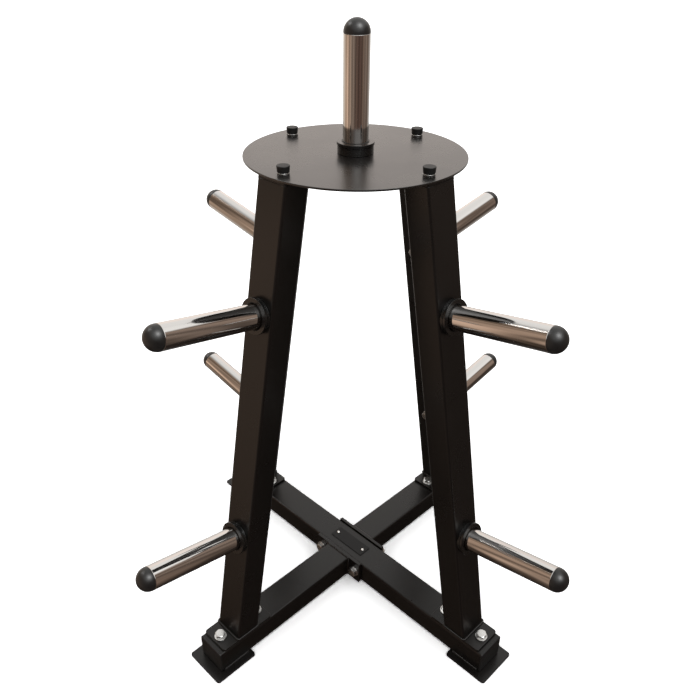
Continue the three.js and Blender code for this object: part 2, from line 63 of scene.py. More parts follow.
Array = np.ndarray
Tree = bpy.types.NodeTree
Socket = bpy.types.NodeSocket
Corner = tuple[float, float, float]  # radius from the axis, height and fillet radius of a profile's corner

MM = 0.001
DEGREE = math.pi / 180
TINY = 1e-12  # keeps a length of nil from dividing
SEAT_GAP = 0.3 * MM  # between two faces that rest on each other
HOLE_GAP = 0.5 * MM  # round a bolt in its hole
MERGE_DISTANCE = 0.002 * MM  # corners closer than this are one corner
LEAST_CORNER = 0.5 * MM  # radius that a drawn-in corner keeps
SHARP_FROM = 38 * DEGREE  # edges that bend more than this stay sharp
UNROLLED = "unrolled"  # name of the pieces' UV map
FLOAT_A, FLOAT_B, COLOUR_A, COLOUR_B = 2, 3, 6, 7  # inputs of a mix node, by what it mixes
FLOAT_MIX, COLOUR_MIX = 0, 2  # and its outputs

SIDES = {"right": 1, "left": -1}  # a pair's names and signs

log = logging.getLogger("plate_tree")


def turn(degrees: float, axis: str = "Z") -> Matrix:
    """A turn about an axis."""
    return Matrix.Rotation(degrees * DEGREE, 4, axis)


def shift(x: float, y: float, z: float) -> Matrix:
    """A shift along the axes."""
    return Matrix.Translation((x, y, z))


# Turns a form that was drawn upright so that up becomes +X, and its own X and Y become Y and Z
ALONG_X = Matrix(((0, 0, 1, 0), (1, 0, 0, 0), (0, 1, 0, 0), (0, 0, 0, 1)))
UPSIDE_DOWN = turn(180, "X")


class Steps(int, Enum):
    """How many flat steps stand for a curve."""

    DISC = 180
    PEG = 96
    BOLT = 48
    HEX_SIDE = 8
    CORNER = 8
    RIM = 4
    FILLET = 5
    RIVET = 9
    DOME = 28
    WELD_SECTION = 12
    RIPPLE = 6
    THREAD_TURN = 12
    BEARING = 720
    ELEVATION = 180


class Slot(str, Enum):
    """The record's material slots."""

    POWDER_COAT = "powder_coat"
    CHROME = "chrome"
    ZINC = "zinc"
    RUBBER = "rubber"
    BLACK_PLASTIC = "black_plastic"
    NAME_PLATE = "name_plate"


class Arm(Enum):
    """The four arms, by how many quarter turns bring +X onto them."""

    FRONT_RIGHT = 0
    BACK_RIGHT = 1
    BACK_LEFT = 2
    FRONT_LEFT = 3

    @property
    def label(self) -> str:
        """The arm's name as the nodes have it."""
        return self.name.lower()

    @property
    def turn(self) -> Matrix:
        """The turn about the post's axis that brings +X onto the arm."""
        return turn(self.value * 90)

    def piece(self, name: str, shell: "Shell", finish: "Finish", *stands_for: str) -> None:
        """Makes a piece of this arm, whose name is put before the piece's and those of its solids.

        Args:
            name: the piece's name.
            shell: its closed surface on the arm along +X.
            finish: its finish.
            stands_for: the solids that it replaces.
        """
        solids = [f"{self.label}_{node}" for node in stands_for]
        make_piece(f"{self.label}_{name}", shell.placed(self.turn), finish, *solids)


# Surfaces


@dataclass(frozen=True)
class Shell:
    """A surface of flat faces."""

    points: Array  # (n, 3) places of the corners
    faces: list[Array]  # groups of faces, each an array of corner numbers with one row for each face
    sheet: Array  # (n, 2) place of each corner on the unrolled surface

    def placed(self, matrix: Matrix) -> "Shell":
        """The surface, turned and shifted by a matrix."""
        move = np.array(matrix)
        return Shell(self.points @ move[:3, :3].T + move[:3, 3], self.faces, self.sheet)

    def mesh(self, name: str, material: bpy.types.Material) -> bpy.types.Mesh:
        """Puts the surface into a mesh.

        Args:
            name: the mesh's name.
            material: its material.

        Returns:
            The mesh.
        """
        mesh = bpy.data.meshes.new(name)
        mesh.from_pydata(self.points.tolist(), [], [face for group in self.faces for face in group.tolist()])
        mesh.materials.append(material)
        return mesh


def joined(*shells: Shell) -> Shell:
    """Puts several surfaces into one.

    Args:
        shells: the surfaces.

    Returns:
        One surface that holds all their faces.
    """
    counts = np.cumsum([0] + [len(shell.points) for shell in shells])
    faces = [group + start for shell, start in zip(shells, counts) for group in shell.faces]
    points = np.concatenate([shell.points for shell in shells])
    return Shell(points, faces, np.concatenate([shell.sheet for shell in shells]))


def unit(vectors: Array) -> Array:
    """The vectors at length 1."""
    return vectors / np.maximum(np.linalg.norm(vectors, axis=-1, keepdims=True), TINY)


def running_length(points: Array, axis: int) -> Array:
    """Length run along an axis of a grid: the mean step from line to line, summed up."""
    steps = np.linalg.norm(np.diff(points, axis=axis), axis=2).mean(axis=1 - axis)
    return np.concatenate([[0.0], np.cumsum(steps)])


def grid_shell(points: Array) -> Shell:
    """A surface from a grid of places, with a quad between each four neighbours.

    Args:
        points: (rows, columns, 3) places. A seam or a pole repeats its places, which are merged later.

    Returns:
        The surface.
    """
    rows, columns = points.shape[:2]
    index = np.arange(rows * columns).reshape(rows, columns)
    corners = [index[:-1, :-1], index[1:, :-1], index[1:, 1:], index[:-1, 1:]]
    quads = np.stack(corners, axis=-1).reshape(-1, 4)
    sheet = np.meshgrid(running_length(points, 0), running_length(points, 1), indexing="ij")
    return Shell(points.reshape(-1, 3), [quads], np.stack(sheet, axis=-1).reshape(-1, 2))


def swept(angle: Array, radius: Array, level: Array) -> Shell:
    """A surface round the Z axis: radius r and level z at angle a give (r cos a, r sin a, z).

    Args:
        angle: (n, 1) angles.
        radius: radii, (n, m) or shaped to stretch to that.
        level: levels, the same.

    Returns:
        The surface.
    """
    radius, level = np.broadcast_arrays(radius, level, angle)[:2]
    return grid_shell(np.stack([radius * np.cos(angle), radius * np.sin(angle), level], axis=-1))


def revolve(profile: Array, steps: int = Steps.PEG) -> Shell:
    """Turns a profile of (n, 2) radii and heights a whole turn round the Z axis."""
    return swept(np.linspace(0, 2 * np.pi, steps + 1)[:, None], *profile.T[:, None, :])


def loft(rings: list[Array], capped: bool = False) -> Shell:
    """Joins closed rings of points, one after another.

    Args:
        rings: (n, 3) places of each ring.
        capped: whether a flat face closes the first and the last ring.

    Returns:
        The surface.
    """
    table = np.stack(rings)
    shell = grid_shell(np.concatenate([table, table[:, :1]], axis=1).transpose(1, 0, 2))
    if not capped:
        return shell
    first = np.arange(table.shape[1])[None, :] * len(rings)
    return Shell(shell.points, shell.faces + [first, first + len(rings) - 1], shell.sheet)


def at_level(outline: Array, level: float) -> Array:
    """Gives each point of a flat outline the same height."""
    return np.column_stack([outline, np.full(len(outline), level)])


def circle(radius: float, steps: int = Steps.BOLT, x: float = 0.0, y: float = 0.0) -> Array:
    """A circle as points (x + r cos a, y + r sin a)."""
    angle = np.arange(steps) * (2 * np.pi / steps)
    return np.column_stack([x + radius * np.cos(angle), y + radius * np.sin(angle)])


@dataclass(frozen=True)
class Rectangle:
    """A rectangle with round corners."""

    size_x: float
    size_y: float
    corner: float  # radius of its corners
    x: float = 0.0  # place of its centre

    def outline(self, inset: float = 0.0) -> Array:
        """Its outline, drawn in: a quarter circle about the centre of each corner in turn.

        Args:
            inset: how far it is drawn in.

        Returns:
            (n, 2) points, anticlockwise.
        """
        radius = max(self.corner - inset, LEAST_CORNER)
        angle = (np.arange(4)[:, None] + np.linspace(0, 1, Steps.CORNER + 1)) * (np.pi / 2)
        side_x, side_y = np.array([[1, -1, -1, 1], [1, 1, -1, -1]])[:, :, None]
        x = side_x * ((self.size_x - 2 * inset) / 2 - radius) + radius * np.cos(angle)
        y = side_y * ((self.size_y - 2 * inset) / 2 - radius) + radius * np.sin(angle)
        return np.column_stack([x.ravel() + self.x, y.ravel()])


def rounded_profile(corners: list[Corner]) -> Array:
    """A profile whose corners are rounded.

    At each corner an arc touches both sides. It starts radius / tan(half the corner's angle) from it, and its
    points are the arc's start and end arms weighted by the sines of the angles still to go and gone.

    Args:
        corners: radius from the axis, height and fillet radius of each corner.

    Returns:
        (n, 2) points, with no point twice in a row.
    """
    table = np.array(corners)
    place, fillet = table[:, :2], table[:, 2:]
    before = unit(np.roll(place, 1, axis=0) - place)
    after = unit(np.roll(place, -1, axis=0) - place)
    folded, straight = 0.01, np.pi / 2 - 0.0001  # limits of half a corner's angle
    half = np.arccos(np.clip((before * after).sum(axis=1, keepdims=True), -1, 1)) / 2
    half = np.clip(half, folded, straight)
    centre = place + unit(before + after) * fillet / np.sin(half)
    start, end = ((place + side * fillet / np.tan(half) - centre)[:, None, :] for side in (before, after))
    sweep = (np.pi - 2 * half)[:, None, :]
    gone = np.linspace(0, 1, Steps.FILLET + 1)[None, :, None]
    arms = start * np.sin((1 - gone) * sweep) + end * np.sin(gone * sweep)
    points = (centre[:, None, :] + arms / np.sin(sweep)).reshape(-1, 2)
    return points[np.linalg.norm(points - np.roll(points, 1, axis=0), axis=1) > MERGE_DISTANCE]


def turned(corners: list[Corner], steps: int = Steps.PEG, bored: bool = False) -> Shell:
    """Turns a profile with rounded corners round the Z axis, closed on itself where the form has a bore."""
    profile = rounded_profile(corners)
    return revolve(np.concatenate([profile, profile[:1]]) if bored else profile, steps)


def face_between(loops: list[Array], level: float) -> Shell:
    """A flat face inside the first loop and outside the others.

    Args:
        loops: flat outlines, the outer one first.
        level: the height that the face lies on.

    Returns:
        The face, in triangles.
    """
    points = at_level(np.concatenate(loops), level)
    triangles = tessellate_polygon([at_level(loop, level).tolist() for loop in loops])
    return Shell(points, [np.array(triangles)], points[:, :2])


def rim_curve(rim: float, steps: int) -> tuple[Array, Array]:
    """A quarter circle at a face's edge: r (1 - sin a) inside the outline and r (1 - cos a) from the face."""
    angle = np.linspace(0, np.pi / 2, steps + 1)
    return rim * (1 - np.sin(angle)), rim * (1 - np.cos(angle))


def plate_shell(
    outline: Callable[[float], Array], holes: list[Array], low: float, high: float, rim: float
) -> Shell:
    """A flat plate with straight holes and a rounded rim.

    Args:
        outline: gives the plate's outline, drawn in by a distance.
        holes: outlines of the holes.
        low: height of the lower face.
        high: height of the upper face.
        rim: radius of the rim.

    Returns:
        The closed surface.
    """
    inset, rise = rim_curve(rim, Steps.RIM)
    insets = np.concatenate([inset, inset[::-1]])
    levels = np.concatenate([low + rise, (high - rise)[::-1]])
    edge = loft([at_level(outline(i), z) for i, z in zip(insets, levels)])
    bores = [loft([at_level(hole, low), at_level(hole, high)]) for hole in holes]
    loops = [outline(rim), *holes]
    return joined(edge, *bores, face_between(loops, low), face_between(loops, high))


def tube_shell(outer: list[Array], inner: list[Array]) -> Shell:
    """A tube with a wall, from its start and end outlines, outside and inside."""
    return loft([*outer, *inner[::-1], outer[0]])


def add_object(name: str, data: bpy.types.ID) -> bpy.types.Object:
    """Adds an object to the scene.

    Args:
        name: its name.
        data: its mesh, lamp or camera.

    Returns:
        The object.
    """
    thing = bpy.data.objects.new(name, data)
    bpy.context.scene.collection.objects.link(thing)
    return thing


# Finishes


def linear(colour: str) -> tuple[float, float, float, float]:
    """Turns an sRGB colour to linear light: c / 12.92 up to 0.04045, else ((c + 0.055) / 1.055) ** 2.4.

    Args:
        colour: six hex digits.

    Returns:
        Red, green, blue and an alpha of 1.
    """
    channels = np.array([int(colour[i : i + 2], 16) / 255 for i in (0, 2, 4)])
    light = np.where(channels <= 0.04045, channels / 12.92, ((channels + 0.055) / 1.055) ** 2.4)
    return (*light.tolist(), 1.0)


def add_node(
    tree: Tree, kind: str, inputs: dict[str | int, Any] | None = None, **settings: Any
) -> bpy.types.Node:
    """Adds one node to a node tree.

    Args:
        tree: the tree.
        kind: Blender's name for the kind of shader node.
        inputs: for each input, its constant or the output of another node that feeds it.
        settings: the node's own attributes.

    Returns:
        The node.
    """
    node = tree.nodes.new(f"ShaderNode{kind}")
    for name, setting in settings.items():
        setattr(node, name, setting)
    for name, value in (inputs or {}).items():
        if isinstance(value, Socket):
            tree.links.new(value, node.inputs[name])
        else:
            node.inputs[name].default_value = value
    return node


def empty_tree(name: str) -> tuple[bpy.types.Material, Tree]:
    """Makes a material with no nodes.

    Args:
        name: its name.

    Returns:
        The material and its node tree.
    """
    material = bpy.data.materials.new(name)
    material.use_nodes = True
    material.node_tree.nodes.clear()
    return material, material.node_tree


@dataclass(frozen=True)
class Noise:
    """A cloudy pattern."""

    size: tuple[float, float, float]  # size of its waves along each axis
    detail: float = 4.0  # how many finer waves lie on them
    fine: float = 0.6  # strength of the finer waves

    @classmethod
    def even(cls, size: float, detail: float = 4.0, fine: float = 0.6) -> "Noise":
        """A pattern with waves of the same size along each axis."""
        return cls((size, size, size), detail, fine)

    def values(self, tree: Tree, place: Socket) -> Socket:
        """Adds the pattern.

        Args:
            tree: the material's nodes.
            place: places to read it at.

        Returns:
            Its output.
        """
        scale = tuple(1 / size for size in self.size)
        place = add_node(tree, "Mapping", {"Vector": place, "Scale": scale}).outputs["Vector"]
        inputs = {"Vector": place, "Scale": 1.0, "Detail": self.detail, "Roughness": self.fine}
        return add_node(tree, "TexNoise", inputs).outputs["Fac"]


@dataclass(frozen=True)
class Finish:
    """A surface as its maker would name it. Colour and gloss wander together, a relief bends the light."""

    name: str  # name of the material
    slot: Slot  # the record's slot that it belongs to
    colour: str  # sRGB colour of the surface
    shade: str  # sRGB colour that the surface wanders to
    roughness: tuple[float, float]  # least and most roughness
    wander: Noise = Noise.even(1.0)  # pattern that colour and gloss wander with
    contrast: tuple[float, float] = (0.3, 0.7)  # what it has to be for the least and the most roughness
    relief: tuple[Noise, ...] = ()  # one pattern, or a coarse and a fine one
    fine_share: float = 0.3  # how much of such a relief is the fine one
    depth: float = 0.0  # height of the relief
    ior: float | None = None  # none for a metal
    unrolled: bool = False  # whether the patterns follow the unrolled surface

    def material(self) -> bpy.types.Material:
        """Makes the material, once.

        Returns:
            The material.
        """
        known = bpy.data.materials.get(self.name)
        if known:
            return known
        material, tree = empty_tree(self.name)
        if self.unrolled:
            place = add_node(tree, "UVMap", uv_map=UNROLLED).outputs["UV"]
        else:
            place = add_node(tree, "TexCoord").outputs["Object"]
        cloud, relief, *fine = (noise.values(tree, place) for noise in (self.wander, *self.relief))
        if fine:
            inputs = {0: self.fine_share, FLOAT_A: relief, FLOAT_B: fine[0]}
            relief = add_node(tree, "Mix", inputs, data_type="FLOAT").outputs[FLOAT_MIX]
        inputs = {0: cloud, COLOUR_A: linear(self.colour), COLOUR_B: linear(self.shade)}
        tint = add_node(tree, "Mix", inputs, data_type="RGBA").outputs[COLOUR_MIX]
        inputs = zip(("From Min", "From Max", "To Min", "To Max"), (*self.contrast, *self.roughness))
        gloss = add_node(tree, "MapRange", {"Value": cloud, **dict(inputs)}).outputs["Result"]
        bump = add_node(tree, "Bump", {"Height": relief, "Strength": 1.0, "Distance": self.depth})
        inputs = {"Base Color": tint, "Roughness": gloss, "Normal": bump.outputs["Normal"]}
        inputs |= {"IOR": self.ior} if self.ior else {"Metallic": 1.0}
        surface = add_node(tree, "BsdfPrincipled", inputs).outputs["BSDF"]
        add_node(tree, "OutputMaterial", {"Surface": surface})
        return material


@dataclass(frozen=True)
class PowderCoat(Finish):
    """Polyester powder coat, semi-matt black, sprayed on steel and baked.

    It flows as it bakes, so the eye gets soft edges, a faint orange peel and a blurred gloss at low angles.
    The peel's real waves of 2 mm and grain of 0.1 mm are too fine to show, so both are drawn wider.
    """

    wander: Noise = Noise.even(90 * MM)  # soft patches that wiping leaves
    relief: tuple[Noise, ...] = (Noise.even(5 * MM, 1.0, 0.4), Noise.even(1.1 * MM, 2.0, 0.6))
    depth: float = 0.03 * MM
    ior: float | None = 1.4


@dataclass(frozen=True)
class HardChrome(Finish):
    """Bright chrome plate on a drawn and polished steel tube.

    Drawing leaves the tube very slightly ribbed along its length, so the eye gets long streaks in what the
    mirror shows. Plates that slide on leave faint hairlines, drawn coarser than the real 0.05 mm.
    """

    wander: Noise = Noise((0.5 * MM, 400 * MM, 1.0))  # hairlines
    relief: tuple[Noise, ...] = (Noise((4.5 * MM, 400 * MM, 1.0), 2.0, 0.45),)  # ribs
    depth: float = 0.035 * MM
    unrolled: bool = True


@dataclass(frozen=True)
class ZincPlate(Finish):
    """Bright zinc plate on cold-formed steel.

    The plating is thin over a tumbled blank, so the eye gets a silvery metal with small dull spots.
    """

    wander: Noise = Noise.even(2.2 * MM)  # dull spots
    relief: tuple[Noise, ...] = (Noise.even(1.1 * MM, 3.0, 0.5),)  # tumbling marks
    depth: float = 0.03 * MM


@dataclass(frozen=True)
class Moulded(Finish):
    """Black rubber or plastic from a spark-eroded mould.

    The mould's fine pits print a dense grain, drawn coarser than the real 0.1 mm, so the eye gets a dark
    surface with a wide soft highlight.
    """

    wander: Noise = Noise.even(14 * MM)  # patches from handling
    relief: tuple[Noise, ...] = (Noise.even(0.8 * MM, 2.0, 0.7),)
    depth: float = 0.04 * MM
    ior: float | None = 1.5


@dataclass(frozen=True)
class AnodisedSheet(Finish):
    """Black anodised aluminium sheet, brushed lengthwise before it was dyed.

    The eye gets a dark satin face with fine lines along the plate, drawn coarser than the real 0.1 mm.
    """

    wander: Noise = Noise((40 * MM, 0.7 * MM, 0.7 * MM))
    relief: tuple[Noise, ...] = (Noise((40 * MM, 0.7 * MM, 0.7 * MM), 3.0, 0.5),)
    depth: float = 0.02 * MM
    ior: float | None = 1.3


BLACK_COAT = PowderCoat("semi_matt_black_powder_coat", Slot.POWDER_COAT, "0c0a09", "110e0c", (0.26, 0.32))
SHEET_COAT = PowderCoat(
    "black_powder_coat_on_flat_sheet", Slot.POWDER_COAT, "0c0a09", "110e0c", (0.26, 0.3), ior=1.61
)
CHROME = HardChrome("bright_hard_chrome", Slot.CHROME, "cccac8", "c2c0be", (0.05, 0.11))
ZINC = ZincPlate("bright_zinc_plate", Slot.ZINC, "d3d4d5", "bdbcb8", (0.2, 0.38))
RUBBER = Moulded("moulded_black_rubber", Slot.RUBBER, "080808", "0d0d0d", (0.22, 0.3), depth=0.015 * MM)
PLUG_PLASTIC = Moulded("moulded_black_plug_plastic", Slot.BLACK_PLASTIC, "141414", "191919", (0.34, 0.42))
CAP_PLASTIC = Moulded(
    "moulded_black_cap_plastic", Slot.BLACK_PLASTIC, "0b0b0b", "0f0f0f", (0.5, 0.58), ior=1.42
)
NAME_SHEET = AnodisedSheet("black_anodised_sheet", Slot.NAME_PLATE, "101010", "151515", (0.42, 0.5))
RIVET_METAL = ZincPlate("bright_rivet_aluminium", Slot.ZINC, "e6e6e4", "d8d8d6", (0.16, 0.26))


# Pieces


def make_piece(name: str, shell: Shell, finish: Finish, *stands_for: str) -> None:
    """Makes one object of the rack and hangs it on the frame.

    Corners at the same place are merged, which closes seams and poles, and the faces are turned outwards.
    Large flat faces keep their own normal.

    Args:
        name: the piece's name.
        shell: its closed surface, in place.
        finish: its finish.
        stands_for: the solids that it replaces.
    """
    mesh = shell.mesh(name, finish.material())
    corners = np.empty(len(mesh.loops), dtype=np.int32)
    mesh.loops.foreach_get("vertex_index", corners)
    mesh.uv_layers.new(name=UNROLLED).data.foreach_set("uv", shell.sheet[corners].ravel())
    solid = bmesh.new()
    solid.from_mesh(mesh)
    bmesh.ops.remove_doubles(solid, verts=solid.verts, dist=MERGE_DISTANCE)
    bmesh.ops.recalc_face_normals(solid, faces=solid.faces)
    open_edges = sum(not edge.is_manifold for edge in solid.edges)
    solid.to_mesh(mesh)
    solid.free()
    mesh.shade_smooth()
    mesh.set_sharp_from_angle(angle=SHARP_FROM)
    piece = add_object(name, mesh)
    piece.modifiers.new("keep_flat_faces_flat", "WEIGHTED_NORMAL").keep_sharp = True
    if stands_for:
        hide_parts(*stands_for)
    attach(piece, "root")
    log.info("%s: %d faces, %d open edges, %s", name, len(mesh.polygons), open_edges, finish.name)


@dataclass(frozen=True)
class WeldBead:
    """A bead of weld, coated with the rest of the frame."""

    radius: float = 2.6 * MM  # half its width
    ripple: float = 3.4 * MM  # length of one ripple
    swell: float = 0.2  # how far a ripple stands out, as a share of the radius
    lift: float = 0.35  # how far its centre is out of the corner of both faces, as a share of the radius
    waves: tuple[int, ...] = (3, 7, 11)  # how many of each slow wave in its radius fit on the path
    phase: int = 7  # a wave that fits n times starts n / phase of its length in
    wave_share: float = 0.5  # how far they go, as a share of the swell
    taper: int = 16  # power that the bead's open ends are blunt by

    def along(self, path: Array, out: Array, rise: float, closed: bool) -> Shell:
        """Lays the bead along a path.

        Each section is a circle about the path in the plane of the out direction and Z. Its radius swells as
        the size of a sine, once for each ripple, and wanders with slow sines. Where the path is open it falls
        to nothing at both ends, as the root of 1 - s ** taper for s from -1 to 1.

        Args:
            path: (n, 3) places, the last one the same as the first on a closed path.
            out: (n, 3) directions away from the tube.
            rise: 1 where the tube is above the plate, -1 where it is below.
            closed: whether the path runs back into itself.

        Returns:
            The bead's surface.
        """
        run = np.concatenate([[0], np.cumsum(np.linalg.norm(np.diff(path, axis=0), axis=1))])
        count = max(int(round(run[-1] / self.ripple)), 1)
        share = np.linspace(0, 1, count * Steps.RIPPLE + 1)
        centre, away = (
            np.column_stack([np.interp(share * run[-1], run, column) for column in table.T])[:, None, :]
            for table in (path, out)
        )
        slow = sum(np.sin(2 * np.pi * (turns * share + turns / self.phase)) for turns in self.waves)
        wander = self.wave_share * (slow / len(self.waves))
        radius = self.radius * (1 + self.swell * (np.abs(np.sin(np.pi * count * share)) + wander))
        if not closed:
            radius = radius * np.sqrt(1 - (2 * share - 1) ** self.taper)
        angle = np.linspace(0, 2 * np.pi, Steps.WELD_SECTION + 1)[None, :, None]
        section = np.cos(angle) * unit(away) + np.sin(angle) * np.array([0.0, 0.0, rise])
        return grid_shell(centre + radius[:, None, None] * section)

    def around(self, outline: Array, level: float, rise: float) -> Shell:
        """Lays the bead round a tube on a plate. The way out at a point is its chord's right.

        Args:
            outline: the tube's outline on the plate, anticlockwise.
            level: height of the plate's face.
            rise: 1 where the tube is above the plate, -1 where it is below.

        Returns:
            The bead's surface.
        """
        chord = np.roll(outline, -1, axis=0) - np.roll(outline, 1, axis=0)
        out = unit(np.column_stack([chord[:, 1], -chord[:, 0]]))
        ring, away = (np.concatenate([table, table[:1]]) for table in (outline, at_level(out, 0.0)))
        lift = self.radius * self.lift
        return self.along(at_level(ring, level + rise * lift) + away * lift, away, rise, True)


WELD = WeldBead()
HEAD_WELD = WeldBead(radius=0.6 * MM)
FLANGE_WELD = WeldBead(radius=4.9 * MM, swell=0.03, lift=-0.35)
FOOT_WELD_LIFT = 0.25  # how far the feet's beads lie inside the tube's lower corner, as a share of the radius


@dataclass(frozen=True)
class HexBolt:
    """A zinc plated hex bolt with its washer, and the nut that fits it."""

    diameter: float  # diameter of the shank
    flats: float  # size across the head's flats
    head: float  # height of the head
    washer: float  # diameter of the washer
    washer_thickness: float
    nut: float  # height of the nut
    pitch: float  # rise of one turn of thread
    crown_share: float = 0.94  # width of the flat crown inside the chamfer, as a share of the flats
    chamfer: float = 30 * DEGREE  # slope of the chamfer
    washer_gap: float = 0.4 * MM  # round the shank in the washer
    washer_rim: float = 0.5 * MM  # radius of the washer's edges
    head_gap: float = 0.05 * MM  # between the washer and the head
    point: float = 0.8 * MM  # chamfer at the shank's end
    thread_depth: float = 0.6  # depth of the thread, as a share of the pitch
    point_depth: float = 0.8  # how much of the thread's depth is cut away at the very end

    @property
    def stack(self) -> float:
        """Height of the head's seat above the face that the washer lies on."""
        return SEAT_GAP + self.washer_thickness

    @property
    def hole(self) -> float:
        """Radius of the hole that the bolt passes through."""
        return self.diameter / 2 + HOLE_GAP

    def hexagon(self, height: float, both_ends: bool) -> Shell:
        """A hexagon with a chamfered crown.

        Its radius at angle a is half the flats over cos(a from its side's middle). The chamfer is a cone: the
        top falls by the chamfer's tangent times how far a point lies outside the crown.

        Args:
            height: height of the hexagon.
            both_ends: whether the lower end is chamfered too, as on a nut.

        Returns:
            The closed surface, standing on the level 0.
        """
        side = np.pi / 3
        angle = np.linspace(0, 2 * np.pi, round(2 * np.pi / side) * Steps.HEX_SIDE + 1)[:, None]
        reach = self.flats / 2 / np.cos(np.mod(angle, side) - side / 2)
        crown = self.flats / 2 * self.crown_share
        upper_radius = crown + (reach - crown) * np.array([[1, 1 / 2, 0]])
        upper_level = height - (upper_radius - crown) * math.tan(self.chamfer)
        axis = np.zeros_like(angle)
        lower_radius = upper_radius[:, ::-1] if both_ends else reach
        lower_level = height - upper_level[:, ::-1] if both_ends else axis
        radius = np.hstack([axis, lower_radius, upper_radius, axis])
        level = np.hstack([lower_level[:, :1], lower_level, upper_level, upper_level[:, -1:]])
        return swept(angle, radius, level)

    def washer_shell(self) -> Shell:
        """The washer, lying on the level 0.

        Returns:
            The closed surface, with a bore that the shank passes through.
        """
        bore, edge, rim = self.diameter / 2 + self.washer_gap, self.washer / 2, self.washer_rim
        low, high = SEAT_GAP, self.stack - self.head_gap
        corners = [(bore, low, 0), (edge, low, rim), (edge, high, rim), (bore, high, 0)]
        return turned(corners, Steps.BOLT, bored=True)

    def shank_shell(self, low: float) -> Shell:
        """A plain shank.

        Args:
            low: level of its free end.

        Returns:
            The closed surface, up to the head.
        """
        edge, point = self.diameter / 2, self.diameter / 2 - self.point
        places = [(0, low), (point, low), (edge, low + self.point), (edge, self.stack), (0, self.stack)]
        return turned([(*place, 0) for place in places], Steps.BOLT)

    def thread_shell(self, low: float, high: float) -> Shell:
        """A threaded end between two levels.

        The radius at angle a and height z is the shank's, less the thread's depth times twice the distance
        from a half of the fraction of z / pitch - a / full turn. It shrinks within one pitch of the end.

        Args:
            low: level of the free end.
            high: level where the nut hides it.

        Returns:
            The closed surface.
        """
        depth = self.thread_depth * self.pitch
        angle = np.linspace(0, 2 * np.pi, Steps.BOLT + 1)[:, None]
        count = max(int(Steps.THREAD_TURN * (high - low) / self.pitch), 2)
        level = np.linspace(low, high, count)[None, :]
        phase = np.mod(level / self.pitch - angle / (2 * np.pi), 1.0)
        point = np.clip((level - low) / self.pitch, 0, 1)
        most = self.diameter / 2 - self.point_depth * depth * (1 - point)
        radius = np.minimum(self.diameter / 2 - depth * np.abs(2 * phase - 1), most)
        axis = np.zeros_like(angle)
        return swept(angle, np.hstack([axis, radius, axis]), np.hstack([[[low]], level, [[high]]]))

    def build(self, names: tuple[str, str], low: float, place: Matrix, spin: float, *stands_for: str) -> None:
        """Builds the bolt and its washer.

        Args:
            names: names of the bolt and of the washer.
            low: level of the shank's end.
            place: where the washer's seat is, and which way the head points.
            spin: turn of the head, in degrees.
            stands_for: the solids that the bolt replaces.
        """
        head = self.hexagon(self.head, False).placed(shift(0, 0, self.stack)).placed(turn(spin))
        make_piece(names[0], joined(head, self.shank_shell(low)).placed(place), ZINC, *stands_for)
        make_piece(names[1], self.washer_shell().placed(place), ZINC)


FRAME_BOLT = HexBolt(14 * MM, 21 * MM, 8.8 * MM, 28 * MM, 2.5 * MM, 11 * MM, 2 * MM)
TOP_BOLT = HexBolt(10 * MM, 16 * MM, 6.4 * MM, 23 * MM, 1.2 * MM, 8 * MM, 1.5 * MM)
BOLT_END = 3 * MM  # how far a bolt runs past its nut


@dataclass(frozen=True)
class TubeStock:
    """The rectangular tube that beams and legs are cut from."""

    width: float = 76 * MM  # its size across a beam, and across a leg
    depth: float = 58 * MM  # its size up a beam, and from a leg's inner to its outer face
    wall: float = 3 * MM
    corner: float = 5 * MM  # radius of its corners, outside

    @property
    def lying(self) -> Rectangle:
        """The tube's end, as a beam has it."""
        return Rectangle(self.width, self.depth, self.corner)

    @property
    def standing(self) -> Rectangle:
        """The tube's end, as a leg has it."""
        return Rectangle(self.depth, self.width, self.corner)

    def beam(self, start: float, end: float) -> Shell:
        """A tube along X, from one cut end to the other."""
        walls = ([at_level(self.lying.outline(inset), x) for x in (start, end)] for inset in (0.0, self.wall))
        return tube_shell(*walls)


TUBE = TubeStock()


@dataclass(frozen=True)
class Levels:
    """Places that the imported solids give."""

    foot_reach: float  # X of the foot plate's outer edge
    beam_top: float  # height of the beams' upper faces
    leg_seat: float  # height of the underside of a leg's base plate
    leg_top: float  # height of the upper face of a leg's head plate
    disc_low: float  # height of the round top plate's underside
    disc_high: float  # height of its upper face

    @classmethod
    def from_frame(cls) -> "Levels":
        """Reads the places from the frame's boxes."""
        beam, leg, disc = (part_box(node) for node in ("main_beam", "front_right_leg", "top_plate"))
        return cls(beam[1].x, beam[1].z, leg[0].z, leg[1].z, disc[0].z, disc[1].z)

    @property
    def along_beam(self) -> Matrix:
        """Lays a form that was drawn upright along +X, on the axis of the beams."""
        return shift(0, 0, self.beam_top - TUBE.depth / 2) @ ALONG_X


